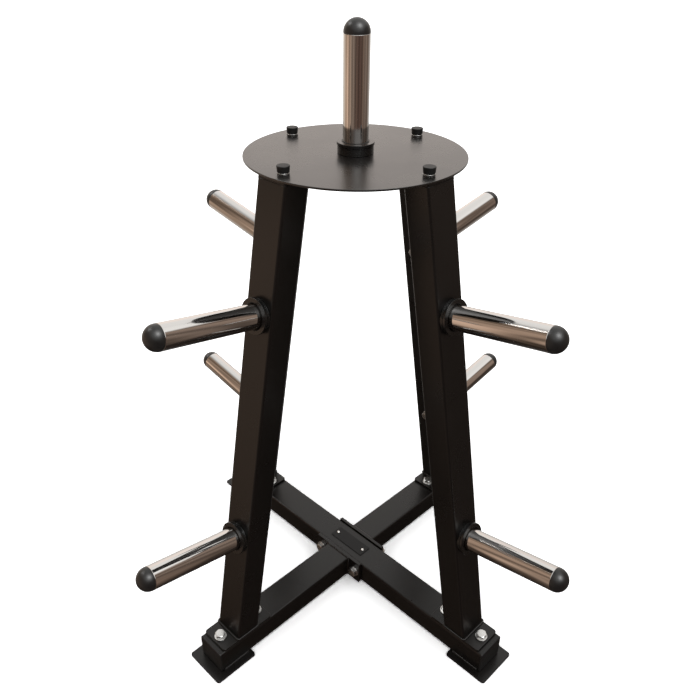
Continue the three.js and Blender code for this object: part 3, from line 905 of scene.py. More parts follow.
@dataclass(frozen=True)
class Foot:
    """A foot plate, welded under a beam's end."""

    size: float = 110 * MM  # its length and width
    corner: float = 7 * MM  # radius of its corners
    rim: float = 0.9 * MM  # radius that its cut edges are softened to
    overhang: float = 27.5 * MM  # how far it stands out past the tube's cut end

    def plate(self, levels: Levels) -> Shell:
        """The plate under the arm along +X."""
        form = Rectangle(self.size, self.size, self.corner, levels.foot_reach - self.size / 2)
        return plate_shell(form.outline, [], 0.0, levels.beam_top - TUBE.depth, self.rim)

    def welds(self, levels: Levels) -> Shell:
        """The two beads along the tube's lower corners.

        Args:
            levels: the frame's places.

        Returns:
            Their surface.
        """
        start = levels.foot_reach - self.size + self.corner
        end = levels.foot_reach - self.overhang - self.corner / 2
        sunk = WELD.radius * FOOT_WELD_LIFT
        y, z = TUBE.width / 2 - sunk, levels.beam_top - TUBE.depth + sunk
        ends, out = np.array([(start, y, z), (end, y, z)]), np.array([(0.0, 1.0, 0.0)] * 2)
        beads = (WELD.along(ends * (1, side, 1), out * side, 1.0, False) for side in SIDES.values())
        return joined(*beads)


@dataclass(frozen=True)
class EndCap:
    """A moulded cap in a beam's open end."""

    thickness: float = 3.5 * MM  # thickness of its face plate
    rim: float = 2.4 * MM  # radius of the face's rounded rim
    plug_length: float = 10 * MM  # length of the plug that grips the tube
    plug_wall: float = 2.5 * MM  # wall of the plug
    clearance: float = 0.3 * MM  # round the plug

    def shell(self) -> Shell:
        """The cap on a tube that ends at the level 0.

        Returns:
            A rounded face, and behind it a hollow plug.
        """
        inset, fall = rim_curve(self.rim, Steps.FILLET)
        edge = [(0.0, 0.0), *zip(inset[::-1], self.thickness - fall[::-1])]
        grip = TUBE.wall + self.clearance
        well = grip + self.plug_wall
        deep = -self.plug_length
        plug = [(grip, self.thickness / 2), (grip, deep), (well, deep), (well, -SEAT_GAP)]
        outline = TUBE.lying.outline
        return joined(*(loft([at_level(outline(i), z) for i, z in rings], True) for rings in (edge, plug)))


@dataclass(frozen=True)
class Crossing:
    """Where two half beams are bolted against the sides of the main beam."""

    flange: float = 8 * MM  # thickness of a flange plate
    ear: float = 40 * MM  # how far a flange stands out past each side of the half beam
    proud: float = 3 * MM  # how far it stands out above and below
    corner: float = 3 * MM  # radius of the flange's corners
    rim: float = 0.7 * MM  # radius of its softened edges
    bolt_inset: float = 17 * MM  # from the flange's upright edge to a bolt
    spin: float = 20.0  # turn of a cross bolt's head, in degrees
    spin_step: float = 25.0  # how much more the right one is turned, and how much less the left one

    @property
    def face(self) -> float:
        """Distance from the post's axis to a flange's bearing face."""
        return TUBE.width / 2 + SEAT_GAP

    @property
    def seat(self) -> float:
        """Distance from the post's axis to a flange's outer face."""
        return self.face + self.flange

    @property
    def bolt_offset(self) -> float:
        """Distance of a cross bolt from the half beam's axis."""
        return TUBE.width / 2 + self.ear - self.bolt_inset

    def flange_plate(self) -> Shell:
        """The flange of a half beam.

        Returns:
            The closed surface, drawn upright.
        """
        form = Rectangle(TUBE.width + 2 * self.ear, TUBE.depth + 2 * self.proud, self.corner)
        holes = [circle(FRAME_BOLT.hole, x=side * self.bolt_offset) for side in SIDES.values()]
        return plate_shell(form.outline, holes, self.face, self.seat, self.rim)

    def build(self, middle: float) -> None:
        """Builds both cross bolts, with heads on the -Y side and nuts on the +Y side.

        Args:
            middle: height of the beams' axes.
        """
        far = -2 * self.seat
        back = shift(0, 0, far) @ UPSIDE_DOWN
        lift = shift(0, 0, FRAME_BOLT.stack)
        end = far - FRAME_BOLT.stack - FRAME_BOLT.nut - BOLT_END
        for label, side in SIDES.items():
            spin = self.spin + self.spin_step * side
            place = shift(side * self.bolt_offset, -self.seat, middle) @ turn(90, "X")
            name = f"cross_bolt_{label}"
            FRAME_BOLT.build((f"{name}_head", f"{name}_washer"), far, place, spin, name)
            make_piece(f"{name}_back_washer", FRAME_BOLT.washer_shell().placed(place @ back), ZINC)
            nut = FRAME_BOLT.hexagon(FRAME_BOLT.nut, True).placed(place @ back @ lift @ turn(spin))
            make_piece(f"{name}_nut", nut, ZINC)
            make_piece(f"{name}_thread", FRAME_BOLT.thread_shell(end, far).placed(place), ZINC)


@dataclass(frozen=True)
class NamePlate:
    """The bare name plate on the crossing, with its two rivets."""

    length: float = 110 * MM
    width: float = 36 * MM
    thickness: float = 1.5 * MM
    corner: float = 2 * MM  # radius of its corners
    rim: float = 0.35 * MM  # radius of its softened edges
    rivet_inset: float = 10 * MM  # from its short edge to a rivet
    rivet_gap: float = 0.3 * MM  # round a rivet in its hole
    head_gap: float = 0.1 * MM  # under a rivet's head
    head_radius: float = 4 * MM  # radius of a rivet's head
    head_height: float = 2 * MM  # height of a rivet's head
    shank: float = 2.4 * MM  # radius of a rivet's shank
    tail: float = 2 * MM  # how far a rivet runs into the tube

    def rivet(self, low: float, seat: float) -> Shell:
        """A rivet: at angle a its head has the radius r cos a at h sin a above the seat.

        Args:
            low: level of the shank's end.
            seat: level of the head's underside.

        Returns:
            The closed surface.
        """
        angle = np.linspace(0, np.pi / 2, Steps.RIVET + 1)
        crown = np.column_stack([self.head_radius * np.cos(angle), seat + self.head_height * np.sin(angle)])
        return revolve(np.concatenate([[(0, low), (self.shank, low), (self.shank, seat)], crown]), Steps.BOLT)

    def build(self, beam_top: float) -> None:
        """Builds the plate and its rivets.

        Args:
            beam_top: height of the beam's upper face.
        """
        low = beam_top + SEAT_GAP
        high = low + self.thickness
        offset = self.length / 2 - self.rivet_inset
        holes = [circle(self.shank + self.rivet_gap, x=side * offset) for side in SIDES.values()]
        form = Rectangle(self.length, self.width, self.corner)
        plate = plate_shell(form.outline, holes, low, high, self.rim)
        make_piece("bare_name_plate", plate, NAME_SHEET, "name_plate")
        rivet = self.rivet(beam_top - TUBE.wall - self.tail, high + self.head_gap)
        for label, side in SIDES.items():
            name = f"name_plate_rivet_{label}"
            placed = rivet.placed(shift(side * offset, 0, 0))
            make_piece(f"{name}_head", placed, RIVET_METAL, name)


@dataclass(frozen=True)
class Beams:
    """The crossed base: the main beam along X and two half beams along Y."""

    levels: Levels
    foot: Foot = Foot()
    cap: EndCap = EndCap()
    crossing: Crossing = Crossing()

    def build(self) -> None:
        """Builds the tubes, flanges, feet, caps, cross bolts and name plate."""
        reach = self.levels.foot_reach - self.foot.overhang
        along = self.levels.along_beam
        make_piece("main_beam_tube", TUBE.beam(-reach, reach).placed(along), BLACK_COAT, "main_beam")
        cap = self.cap.shell().placed(shift(reach + SEAT_GAP, 0, 0) @ along)
        for arm in Arm:
            arm.piece("foot_plate", self.foot.plate(self.levels), BLACK_COAT)
            arm.piece("foot_welds", self.foot.welds(self.levels), BLACK_COAT)
            arm.piece("end_cap", cap, CAP_PLASTIC, "beam_cap")
            if arm in (Arm.BACK_RIGHT, Arm.FRONT_LEFT):
                seat = self.crossing.seat
                arm.piece("half_beam_tube", TUBE.beam(seat, reach).placed(along), BLACK_COAT, "half_beam")
                arm.piece("half_beam_flange", self.crossing.flange_plate().placed(along), BLACK_COAT)
                weld = FLANGE_WELD.around(TUBE.lying.outline(), seat, 1.0)
                arm.piece("half_beam_weld", weld.placed(along), BLACK_COAT)
        self.crossing.build(along.translation.z)
        NamePlate().build(self.levels.beam_top)


@dataclass(frozen=True)
class Leg:
    """A slanted leg with its base plate and head plate."""

    levels: Levels
    foot_radius: float = 377 * MM  # from the post's axis to the leg's centre line, on the base plate
    head_radius: float = 184 * MM  # the same, under the head plate
    base: float = 6 * MM  # thickness of the base plate
    ear: float = 40.5 * MM  # how far the base plate stands out past the leg's faces
    base_corner: float = 7 * MM  # radius of its corners
    rim: float = 0.8 * MM  # radius of its softened edges
    standoff: float = 22.5 * MM  # from the leg's face to a bolt's axis
    head: float = 5 * MM  # thickness of the head plate
    head_rim: float = 0.3 * MM  # radius of its softened edges, which are ground down to the tube
    spin: float = 11.0  # turn of the heads of its bolts, in degrees, to which each arm and place adds
    arm_spin: float = 17.0  # what each arm adds

    @property
    def low(self) -> float:
        """Height of the base plate's upper face."""
        return self.levels.leg_seat + self.base

    @property
    def high(self) -> float:
        """Height of the head plate's underside."""
        return self.levels.leg_top - self.head

    @property
    def slant(self) -> float:
        """The leg's slant from upright."""
        return math.atan2(self.foot_radius - self.head_radius, self.high - self.low)

    @property
    def half_depth(self) -> float:
        """Half the leg's depth, measured level."""
        return TUBE.depth / 2 / math.cos(self.slant)

    def level_outline(self, level: float, inset: float = 0.0) -> Array:
        """The tube's outline, stretched along X by 1 / cos(slant), at the leg's centre line."""
        centre = self.foot_radius - (level - self.low) * math.tan(self.slant)
        return TUBE.standing.outline(inset) * (1 / math.cos(self.slant), 1) + (centre, 0)

    def tube(self) -> Shell:
        """The slanted tube: its level outline slides inwards as it rises."""
        ends = (self.low, self.high)
        return tube_shell(*([at_level(self.level_outline(z, i), z) for z in ends] for i in (0.0, TUBE.wall)))

    @property
    def bolt_places(self) -> dict[str, float]:
        """X of the inner and the outer bolt."""
        offset = self.half_depth + self.standoff
        return {"inner": self.foot_radius - offset, "outer": self.foot_radius + offset}

    def base_plate(self) -> Shell:
        """The base plate.

        Returns:
            The closed surface, with its two bolt holes.
        """
        form = Rectangle(2 * (self.half_depth + self.ear), TUBE.width, self.base_corner, self.foot_radius)
        holes = [circle(FRAME_BOLT.hole, x=x) for x in self.bolt_places.values()]
        return plate_shell(form.outline, holes, self.levels.leg_seat, self.low, self.rim)

    def head_plate(self) -> Shell:
        """The head plate.

        Returns:
            The closed surface, with its bolt hole.
        """
        form = Rectangle(2 * self.half_depth, TUBE.width, TUBE.corner, self.head_radius)
        holes = [circle(TOP_BOLT.hole, x=self.head_radius)]
        return plate_shell(form.outline, holes, self.high, self.levels.leg_top, self.head_rim)

    def peg_place(self, height: float) -> Matrix:
        """Where a peg stands: square on the outer face, with its axis leaving the face at a height."""
        radius = self.foot_radius + self.half_depth - (height - self.low) * math.tan(self.slant)
        return shift(radius, 0, height) @ turn(90 - self.slant / DEGREE, "Y")

    def build(self, arm: Arm) -> None:
        """Builds one leg. The bolts' heads end up turned anyhow, so each gets its own spin.

        Args:
            arm: the leg's arm.
        """
        arm.piece("leg_tube", self.tube(), BLACK_COAT, "leg")
        arm.piece("base_plate", self.base_plate(), BLACK_COAT)
        arm.piece("head_plate", self.head_plate(), BLACK_COAT)
        arm.piece("base_weld", WELD.around(self.level_outline(self.low), self.low, 1.0), BLACK_COAT)
        arm.piece("head_weld", HEAD_WELD.around(self.level_outline(self.high), self.high, -1.0), BLACK_COAT)
        end = TUBE.wall + self.base + FRAME_BOLT.nut + BOLT_END
        for place, x in self.bolt_places.items():
            node = f"{arm.label}_leg_bolt_{place}"
            seat = arm.turn @ shift(x, 0, self.low)
            spin = self.spin + self.arm_spin * arm.value + x / MM
            FRAME_BOLT.build((f"{node}_head", f"{node}_washer"), -end, seat, spin, node)


@dataclass(frozen=True)
class Collar:
    """A grooved rubber collar round a peg's foot."""

    height: float = 13 * MM  # its height along a leg's peg
    radius: float = 35.2 * MM  # radius of its band
    lip: float = 1.3 * MM  # how far its lip stands out
    lip_height: float = 5.5 * MM  # height of the lip
    edge: float = 0.7 * MM  # radius of the lip's edges, twice that of the others
    soft: float = 0.15 * MM  # radius of the edges in the grooves
    groove: float = 1.6 * MM  # depth of the groove under the lip
    groove_width: float = 2 * MM
    groove_floor: tuple[float, float] = (0.35, 0.65)  # start and end of its floor, as shares of its width
    mouth: float = 28 * MM  # radius of the wide end of the bore's countersink
    mouth_depth: float = 2.5 * MM  # depth of the countersink
    line: float = 0.15 * MM  # depth of the fine lines on the band
    line_spacing: float = 2.7 * MM  # spacing of the fine lines
    line_share: float = 0.2  # half a line's width, as a share of the spacing

    def shell(self, bore: float, base: float) -> Shell:
        """The collar on the level 0.

        Args:
            bore: radius of its bore.
            base: what its band is higher than on a leg's peg.

        Returns:
            The closed surface.
        """
        foot = SEAT_GAP
        top = foot + base + self.height
        lip_foot = top - self.lip_height
        band = lip_foot - self.groove_width
        outer, inner = self.radius + self.lip, self.radius - self.groove
        soft, edge = self.soft, self.edge / 2
        half = self.line_spacing * self.line_share
        corners = [(bore, foot, 0), (self.radius, foot, edge)]
        for level in np.arange(foot + self.line_spacing, band - 2 * half, self.line_spacing):
            line = ((self.radius, -half), (self.radius - self.line, 0), (self.radius, half))
            corners += [(radius, level + rise, soft) for radius, rise in line]
        corners.append((self.radius, band, edge))
        corners += [(inner, band + self.groove_width * share, soft) for share in self.groove_floor]
        corners += [(outer, lip_foot, edge), (outer, top, self.edge), (self.mouth, top, edge)]
        return turned([*corners, (bore, top - self.mouth_depth, soft)], bored=True)


@dataclass(frozen=True)
class Peg:
    """A chromed peg with its collar, domed plug and through bolt."""

    radius: float = 25 * MM  # radius of the tube
    wall: float = 3 * MM
    foot_plug: float = 14 * MM  # thickness of the plug welded in its foot
    rim: float = 1.1 * MM  # radius that the tube's edges are polished to
    dome_rim: float = 1.5 * MM  # straight part of the domed plug
    dome_edge: float = 0.4 * MM  # bevel at the plug's shoulders
    dome_height: float = 24.5 * MM  # height of its domed part, a little under half a ball's
    spigot: float = 16 * MM  # length of the plug inside the tube
    clearance: float = 0.3 * MM  # round the spigot and in the collar
    collar: Collar = Collar()

    def tube(self, length: float) -> Shell:
        """The chromed tube on the level 0, with the plug in its foot.

        Args:
            length: level of its mouth.

        Returns:
            The closed surface.
        """
        outer, bore, foot, rim = self.radius, self.radius - self.wall, SEAT_GAP, self.rim
        floor = foot + self.foot_plug
        ends = [(0, foot, 0), (outer, foot, rim), (outer, length, rim), (bore, length, rim)]
        return turned([*ends, (bore, floor, 0), (0, floor, 0)])

    def dome(self, length: float) -> Shell:
        """The domed plug: at angle a its dome has the tube's radius times cos a at sin a of its height.

        Args:
            length: level of the tube's mouth.

        Returns:
            The closed surface.
        """
        seat = length + SEAT_GAP
        low, edge = seat - self.spigot, self.dome_edge
        spigot = self.radius - self.wall - self.clearance
        angle = np.linspace(0, np.pi / 2, Steps.DOME + 1)
        rise = seat + self.dome_rim + self.dome_height * np.sin(angle)
        stem = [(0, low), (spigot - edge, low), (spigot, low + edge), (spigot, seat)]
        stem += [(self.radius - edge, seat), (self.radius, seat + edge)]
        return revolve(np.concatenate([stem, np.column_stack([self.radius * np.cos(angle), rise])]))

    def build(self, name: str, length: float, grip: float, base: float, place: Matrix, spin: float) -> None:
        """Builds one peg.

        Args:
            name: the node's name.
            length: from the seat to the tube's mouth.
            grip: thickness of what the through bolt passes.
            base: what its collar is higher than on a leg's peg.
            place: where its seat is and which way it points.
            spin: turn of the bolt's head, in degrees.
        """
        make_piece(f"{name}_tube", self.tube(length).placed(place), CHROME, name)
        collar = self.collar.shell(self.radius + self.clearance, base)
        make_piece(f"{name}_collar_ring", collar.placed(place), RUBBER, f"{name}_collar")
        make_piece(f"{name}_dome_plug", self.dome(length).placed(place), PLUG_PLASTIC, f"{name}_dome")
        back = place @ shift(0, 0, -grip) @ UPSIDE_DOWN
        end = -grip - self.foot_plug / 2
        FRAME_BOLT.build((f"{name}_bolt", f"{name}_bolt_washer"), end, back, spin)


@dataclass(frozen=True)
class BoltCap:
    """A push-on cap over a bolt's head on the top plate."""

    height: float = 12.6 * MM
    foot: float = 11.2 * MM  # radius at its foot
    foot_edge: float = 0.3 * MM  # radius of the foot's edge
    crown: float = 12.4 * MM  # radius at its crown
    crown_edge: float = 1.2 * MM  # radius of the crown's edge
    bore: float = 9.7 * MM  # radius of its bore
    bore_depth: float = 7.5 * MM

    def shell(self) -> Shell:
        """The cap, seated on the washer's upper face.

        Returns:
            The closed surface.
        """
        low = TOP_BOLT.stack + SEAT_GAP
        deep, high = low + self.bore_depth, low + self.height
        inside = [(0, deep, 0), (self.bore, deep, 0), (self.bore, low, 0)]
        outside = [(self.foot, low, self.foot_edge), (self.crown, high, self.crown_edge), (0, high, 0)]
        return turned(inside + outside, Steps.BOLT)


@dataclass(frozen=True)
class TopPlate:
    """The round top plate with the bolts that hold it to the legs."""

    levels: Levels
    radius: float = 217.5 * MM
    rim: float = 0.9 * MM  # radius of its softened edge
    bolt_radius: float = 184 * MM  # from the post's axis to a bolt
    bolt_spare: float = 5 * MM  # what a top bolt is longer than it has to be
    cap: BoltCap = BoltCap()

    def outline(self, inset: float) -> Array:
        """The plate's outline, drawn in by a distance."""
        return circle(self.radius - inset, Steps.DISC)

    def build(self) -> None:
        """Builds the plate, bolts, washers and caps."""
        low, high, reach = self.levels.disc_low, self.levels.disc_high, self.bolt_radius
        places = [(reach, 0), (-reach, 0), (0, reach), (0, -reach)]
        holes = [circle(TOP_BOLT.hole, x=x, y=y) for x, y in places] + [circle(FRAME_BOLT.hole)]
        plate = plate_shell(self.outline, holes, low, high, self.rim)
        make_piece("round_top_plate", plate, SHEET_COAT, "top_plate")
        end = high - self.levels.leg_top + TOP_BOLT.nut + BOLT_END + self.bolt_spare
        for arm in Arm:
            seat = arm.turn @ shift(reach, 0, high)
            node = f"{arm.label}_top_bolt"
            TOP_BOLT.build((f"{node}_head", f"{node}_washer"), -end, seat, 0.0, node)
            make_piece(f"{node}_cover", self.cap.shell().placed(seat), CAP_PLASTIC, f"{node}_cap")


@dataclass(frozen=True)
class PlateTree:
    """The rack, put together from its sub-assemblies."""

    levels: Levels
    peg: Peg = Peg()
    # height at which a peg's axis leaves its leg's outer face
    peg_heights: tuple[tuple[str, float], ...] = (("lower", 339 * MM), ("upper", 854 * MM))
    peg_length: float = 219.5 * MM  # length of a leg's peg
    post_length: float = 214 * MM  # length of the upright post
    post_base: float = 9 * MM  # what the post's collar is higher than a leg peg's
    post_spin: float = 8.0  # turn of the head of the post's bolt, in degrees
    arm_spin: float = 19.0  # how much more each arm's bolts are turned than the last one's

    def build(self) -> None:
        """Builds the base, the legs with their pegs, the top plate and the upright post."""
        Beams(self.levels).build()
        leg = Leg(self.levels)
        for arm in Arm:
            leg.build(arm)
            for label, height in self.peg_heights:
                place = arm.turn @ leg.peg_place(height)
                spin = self.arm_spin * arm.value + height / MM
                self.peg.build(f"{arm.label}_{label}_peg", self.peg_length, TUBE.depth, 0.0, place, spin)
        TopPlate(self.levels).build()
        low, high = self.levels.disc_low, self.levels.disc_high
        seat = shift(0, 0, high)
        self.peg.build("upright_post", self.post_length, high - low, self.post_base, seat, self.post_spin)


# Studio


@dataclass(frozen=True)
class PhotoCamera:
    """The photograph's camera, found from the rack's outline. Angles are in degrees."""

    stand_off: float = 1403.87 * MM  # level distance from the post's axis
    height: float = 1524.45 * MM  # height of the lens
    arm_angle: float = 45.93  # angle between the view and the back right arm, seen from above
    yaw: float = -0.26  # turn to the right of the post
    pitch: float = 31.47  # tilt down
    roll: float = 0.63  # turn about the view
    focal_pixels: float = 729.2  # focal length in pixels of the frame
    frame_pixels: int = 700  # width of the frame
    sensor: float = 36.0  # width of the sensor, in millimetres
    sight: float = 200.0  # how far it sees

    @property
    def to_rack(self) -> Matrix:
        """Turn from the camera's own level axes, X right and Y away, to the rack's."""
        return turn(90 - self.arm_angle)

    def build(self) -> None:
        """Makes the camera, turned about its own view, then tilted down, then turned to the side."""
        data = bpy.data.cameras.new("photo_camera")
        data.sensor_width = self.sensor
        data.lens = self.focal_pixels / self.frame_pixels * self.sensor
        data.clip_end = self.sight
        camera = add_object("photo_camera", data)
        place = self.to_rack @ shift(0, -self.stand_off, self.height)
        camera.matrix_world = place @ turn(-self.yaw) @ turn(90 - self.pitch, "X") @ turn(self.roll)
        bpy.context.scene.camera = camera


RED, GREEN, BLUE, TOP, GLOW, FIRST_SHARE = range(1, 7)  # columns of the surround's stops


@dataclass(frozen=True)
class Surround:
    """What the gloss sees round the rack: pale boards behind, warm boards at the sides, a white ceiling.

    Only reflections see this ball. It gives chrome the brown streaks and the coat the dark sides that the
    photograph shows, and leaves the light on the rack white and plain. Angles are in degrees.
    """

    radius: float = 5.0
    centre: float = 0.6  # height of its centre
    # for each bearing to the right of the camera's direction: the board's linear red, green and blue, the
    # elevation of its top, the glow above it, and how bright it is at the low elevations but the first
    stops: tuple[tuple[float, ...], ...] = (
        (-180, 1.36, 1.22, 1.13, 27, 1.25, 0.58, 0.58, 0.58, 0.36, 0.07),
        (-148, 1.34, 1.20, 1.10, 27, 1.20, 0.68, 0.70, 0.68, 0.18, 0.07),
        (-124, 0.85, 0.72, 0.60, 36, 0.60, 1.00, 1.00, 0.95, 0.28, 0.10),
        (-106, 0.28, 0.20, 0.145, 60, 0.35, 2.10, 1.30, 1.30, 0.32, 0.08),
        (-90, 0.34, 0.24, 0.175, 60, 0.40, 3.00, 1.60, 1.00, 0.10, 0.05),
        (-68, 0.46, 0.32, 0.235, 46, 0.80, 1.05, 1.60, 1.45, 0.40, 0.15),
        (-34, 0.33, 0.25, 0.20, 28, 1.20, 0.90, 0.90, 0.80, 0.60, 0.45),
        (0, 0.14, 0.09, 0.07, 15, 1.25, 1.00, 0.90, 0.80, 0.70, 0.60),
        (34, 0.115, 0.07, 0.055, 15, 1.30, 1.00, 0.90, 0.80, 0.70, 0.60),
        (60, 0.21, 0.145, 0.11, 24, 1.30, 0.95, 0.85, 0.90, 0.65, 0.35),
        (76, 0.30, 0.225, 0.18, 40, 1.35, 0.90, 0.80, 0.85, 0.36, 0.12),
        (92, 0.26, 0.19, 0.15, 38, 1.35, 0.85, 0.35, 0.18, 0.08, 0.05),
        (109, 0.24, 0.18, 0.145, 35, 1.35, 0.90, 0.60, 0.40, 0.20, 0.10),
        (130, 0.66, 0.59, 0.53, 32, 1.30, 0.80, 0.80, 0.75, 0.30, 0.08),
        (148, 1.12, 1.03, 0.96, 28, 1.25, 0.70, 0.70, 0.66, 0.45, 0.08),
        (180, 1.36, 1.22, 1.13, 27, 1.25, 0.58, 0.58, 0.58, 0.36, 0.07),
    )
    low: tuple[float, ...] = (8, -4, -14, -26, -40, -60)  # elevations below which a board's light changes
    above: tuple[float, float, float] = (1.0, 0.985, 0.96)  # linear colour of the ceiling where its glow is 1
    zenith: float = 1.1  # glow straight above
    blend: float = 9.0  # how far up a board takes to give way to the ceiling
    nadir: tuple[float, float, float] = (0.07, 0.05, 0.04)  # linear colour straight below
    # what the pale boards' colours are multiplied by below the first of the low elevations
    cast: tuple[float, float, float] = (1.0, 1.06, 1.1)
    pale_from: float = 120.0  # how far from the camera's direction the pale boards start
    pale_blend: float = 25.0  # how far on they are all pale
    streak: float = 0.3  # strength of the warm boards' upright streaks
    # height of each sine of the streaks, how many fit round the ball, and its start in radians
    waves: tuple[tuple[float, float, float], ...] = ((1.0, 13, 0.6), (0.8, 29, 2.1), (0.6, 47, 4.0))

    def column(self, bearing: Array, place: int) -> Array:
        """One column of the stops by bearing, straight between them."""
        table = np.array(self.stops)
        return np.interp(bearing, table[:, 0], table[:, place])

    def board(self, bearing: Array, elevation: Array) -> Array:
        """Colour of the boards, with upright streaks that are a sum of sines of the bearing.

        Below the first of the low elevations it is brighter or darker by a share that runs straight from one
        low elevation to the next, and on the pale side it has a cast.

        Args:
            bearing: (n, m) bearings.
            elevation: (n, m) elevations.

        Returns:
            (n, m, 3) linear colours.
        """
        plain = np.stack([self.column(bearing, place) for place in (RED, GREEN, BLUE)], axis=-1)
        wave = sum(height * np.sin(count * bearing * DEGREE + start) for height, count, start in self.waves)
        warm = np.clip((self.pale_from - np.abs(bearing)) / self.pale_blend, 0, 1)
        pale = np.clip((np.abs(bearing) - self.pale_from) / self.pale_blend, 0, 1)
        share = np.ones_like(bearing)
        before = share
        for place, (high, low) in enumerate(zip(self.low, self.low[1:]), FIRST_SHARE):
            after = self.column(bearing, place)
            down = np.clip((high - elevation) / (high - low), 0, 1)
            share = np.where(elevation < high, before + (after - before) * down, share)
            before = after
        below = np.clip((self.low[0] - elevation) / (self.low[0] - self.low[1]), 0, 1)
        tint = 1 + (np.array(self.cast) - 1) * (below * pale)[..., None]
        return plain * (1 + self.streak * warm * wave)[..., None] * tint * share[..., None]

    def ball(self) -> tuple[Shell, Array]:
        """The boards, the ceiling above them and the ground below: bearing by elevation.

        Above a board's top the glow runs to the zenith's with the square of the way there. Below the lowest
        elevation the colour runs straight to the nadir's.

        Returns:
            The surface, and the linear colour of each of its corners.
        """
        axes = np.linspace(-180, 180, Steps.BEARING + 1), np.linspace(-90, 90, Steps.ELEVATION + 1)
        bearing, elevation = np.meshgrid(*axes, indexing="ij")
        top, glow = self.column(bearing, TOP), self.column(bearing, GLOW)
        lift = np.clip((elevation - top) / self.blend, 0, 1)[..., None]
        rise = np.clip((elevation - top) / (90 - top), 0, 1) ** 2
        ceiling = (glow * (1 - rise) + self.zenith * rise)[..., None] * np.array(self.above)
        down = np.clip((self.low[-1] - elevation) / (self.low[-1] + 90), 0, 1)[..., None]
        walls = self.board(bearing, elevation) * (1 - down) + np.array(self.nadir) * down
        colour = walls * (1 - lift) + ceiling * lift
        across, up = bearing * DEGREE, elevation * DEGREE
        flat = np.cos(up)
        points = np.stack([np.sin(across) * flat, -np.cos(across) * flat, np.sin(up)], axis=-1)
        return grid_shell(self.radius * points + (0, 0, self.centre)), colour.reshape(-1, 3)

    def build(self, to_rack: Matrix) -> None:
        """Makes the ball, which only reflections see.

        Args:
            to_rack: turn from the camera's level axes to the rack's.
        """
        material, tree = empty_tree("board_glow")
        light = add_node(tree, "Attribute", attribute_name="glow").outputs["Color"]
        lamp = add_node(tree, "Emission", {"Color": light}).outputs["Emission"]
        add_node(tree, "OutputMaterial", {"Surface": lamp})
        material.cycles.emission_sampling = "NONE"
        shell, colour = self.ball()
        mesh = shell.placed(to_rack).mesh("surround", material)
        layer = mesh.attributes.new("glow", "FLOAT_COLOR", "POINT")
        layer.data.foreach_set("color", np.column_stack([colour, np.ones(len(colour))]).ravel())
        ball = add_object("surround", mesh)
        for ray in ("camera", "diffuse", "transmission", "volume_scatter", "shadow"):
            setattr(ball, f"visible_{ray}", False)


@dataclass(frozen=True)
class Lamp:
    """A lamp so far away that its rays are parallel."""

    name: str
    lights: bool  # whether it lights the rack, or else only glints in gloss
    strength: float
    width: float  # how wide it looks, in degrees
    bearing: float  # degrees to the right of the camera
    elevation: float  # degrees above the floor

    def build(self, to_rack: Matrix) -> None:
        """Makes the lamp.

        Args:
            to_rack: turn from the camera's level axes to the rack's.
        """
        data = bpy.data.lights.new(self.name, "SUN")
        data.energy = self.strength
        data.angle = self.width * DEGREE
        lamp = add_object(self.name, data)
        lamp.matrix_world = to_rack @ turn(self.bearing) @ turn(90 - self.elevation, "X")
        lamp.visible_diffuse = self.lights
        lamp.visible_glossy = not self.lights


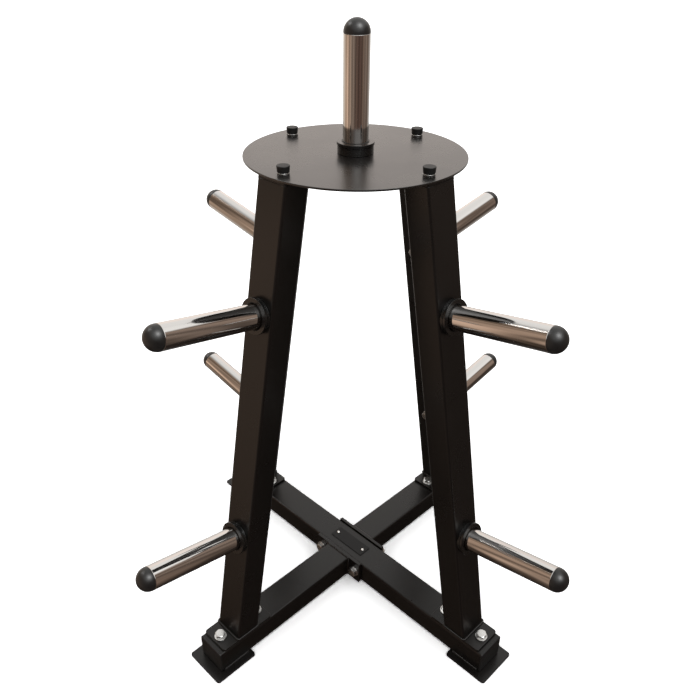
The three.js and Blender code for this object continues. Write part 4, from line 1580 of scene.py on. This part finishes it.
@dataclass(frozen=True)
class Studio:
    """A plain white floor under even white light."""

    camera: PhotoCamera = PhotoCamera()
    surround: Surround = Surround()
    lamps: tuple[Lamp, ...] = (
        Lamp("wide_lamp", True, 1.1, 110.0, 0.0, 80.0),
        Lamp("small_lamp", False, 2.8, 26.0, 39.0, 57.0),
        Lamp("edge_lamp", False, 0.6, 8.0, -112.0, 45.0),  # a thin light line along the tubes' round edges
    )
    floor_radius: float = 60.0
    floor_level: float = -0.1 * MM  # just under the feet
    floor_tone: float = 0.8  # how much light the floor throws back on the rack
    floor_white: float = 1.85  # how bright the lit floor is to the camera, so that only shadows show on it
    ambient: float = 0.6  # strength of the world's light

    def build(self) -> None:
        """Makes the camera, the floor, the lights and the surround."""
        self.camera.build()
        self.build_floor()
        self.build_world()
        for lamp in self.lamps:
            lamp.build(self.camera.to_rack)
        self.surround.build(self.camera.to_rack)
        bpy.context.scene.view_settings.view_transform = "Standard"

    def seen_directly(self, tree: Tree) -> Socket:
        """Tells what the camera sees, straight, mirrored or through glass, from the light that a thing casts.

        Args:
            tree: the nodes to add to.

        Returns:
            Output that is 1 for what is seen.
        """
        rays = add_node(tree, "LightPath").outputs
        seen = rays["Is Camera Ray"]
        for other in ("Is Glossy Ray", "Is Transmission Ray"):
            seen = add_node(tree, "Math", {0: seen, 1: rays[other]}, operation="MAXIMUM").outputs[0]
        return seen

    def build_floor(self) -> None:
        """Makes the floor: matt and pale to the light, brighter to the eye, so that it ends up white."""
        material, tree = empty_tree("white_floor")
        plain, bright = (
            add_node(tree, "BsdfDiffuse", {"Color": (tone, tone, tone, 1)}).outputs["BSDF"]
            for tone in (self.floor_tone, self.floor_white)
        )
        inputs = {0: self.seen_directly(tree), 1: plain, 2: bright}
        mixed = add_node(tree, "MixShader", inputs).outputs["Shader"]
        add_node(tree, "OutputMaterial", {"Surface": mixed})
        disc = face_between([circle(self.floor_radius, Steps.PEG)], self.floor_level)
        floor = add_object("floor", disc.mesh("floor", material))
        floor.visible_glossy = False

    def build_world(self) -> None:
        """Makes the world: white to the eye, and a softer even light on the rack."""
        world = bpy.data.worlds.new("white_surround")
        world.use_nodes = True
        tree = world.node_tree
        tree.nodes.clear()
        inputs = {0: self.seen_directly(tree), FLOAT_A: self.ambient, FLOAT_B: 1.0}
        strength = add_node(tree, "Mix", inputs, data_type="FLOAT").outputs[FLOAT_MIX]
        inputs = {"Color": (1, 1, 1, 1), "Strength": strength}
        sky = add_node(tree, "Background", inputs).outputs["Background"]
        add_node(tree, "OutputWorld", {"Surface": sky})
        bpy.context.scene.world = world


def main() -> None:
    """Builds the studio and the rack."""
    logging.basicConfig(level=logging.INFO, format="%(message)s")
    Studio().build()
    PlateTree(Levels.from_frame()).build()


if __name__ == "__main__":
    main()
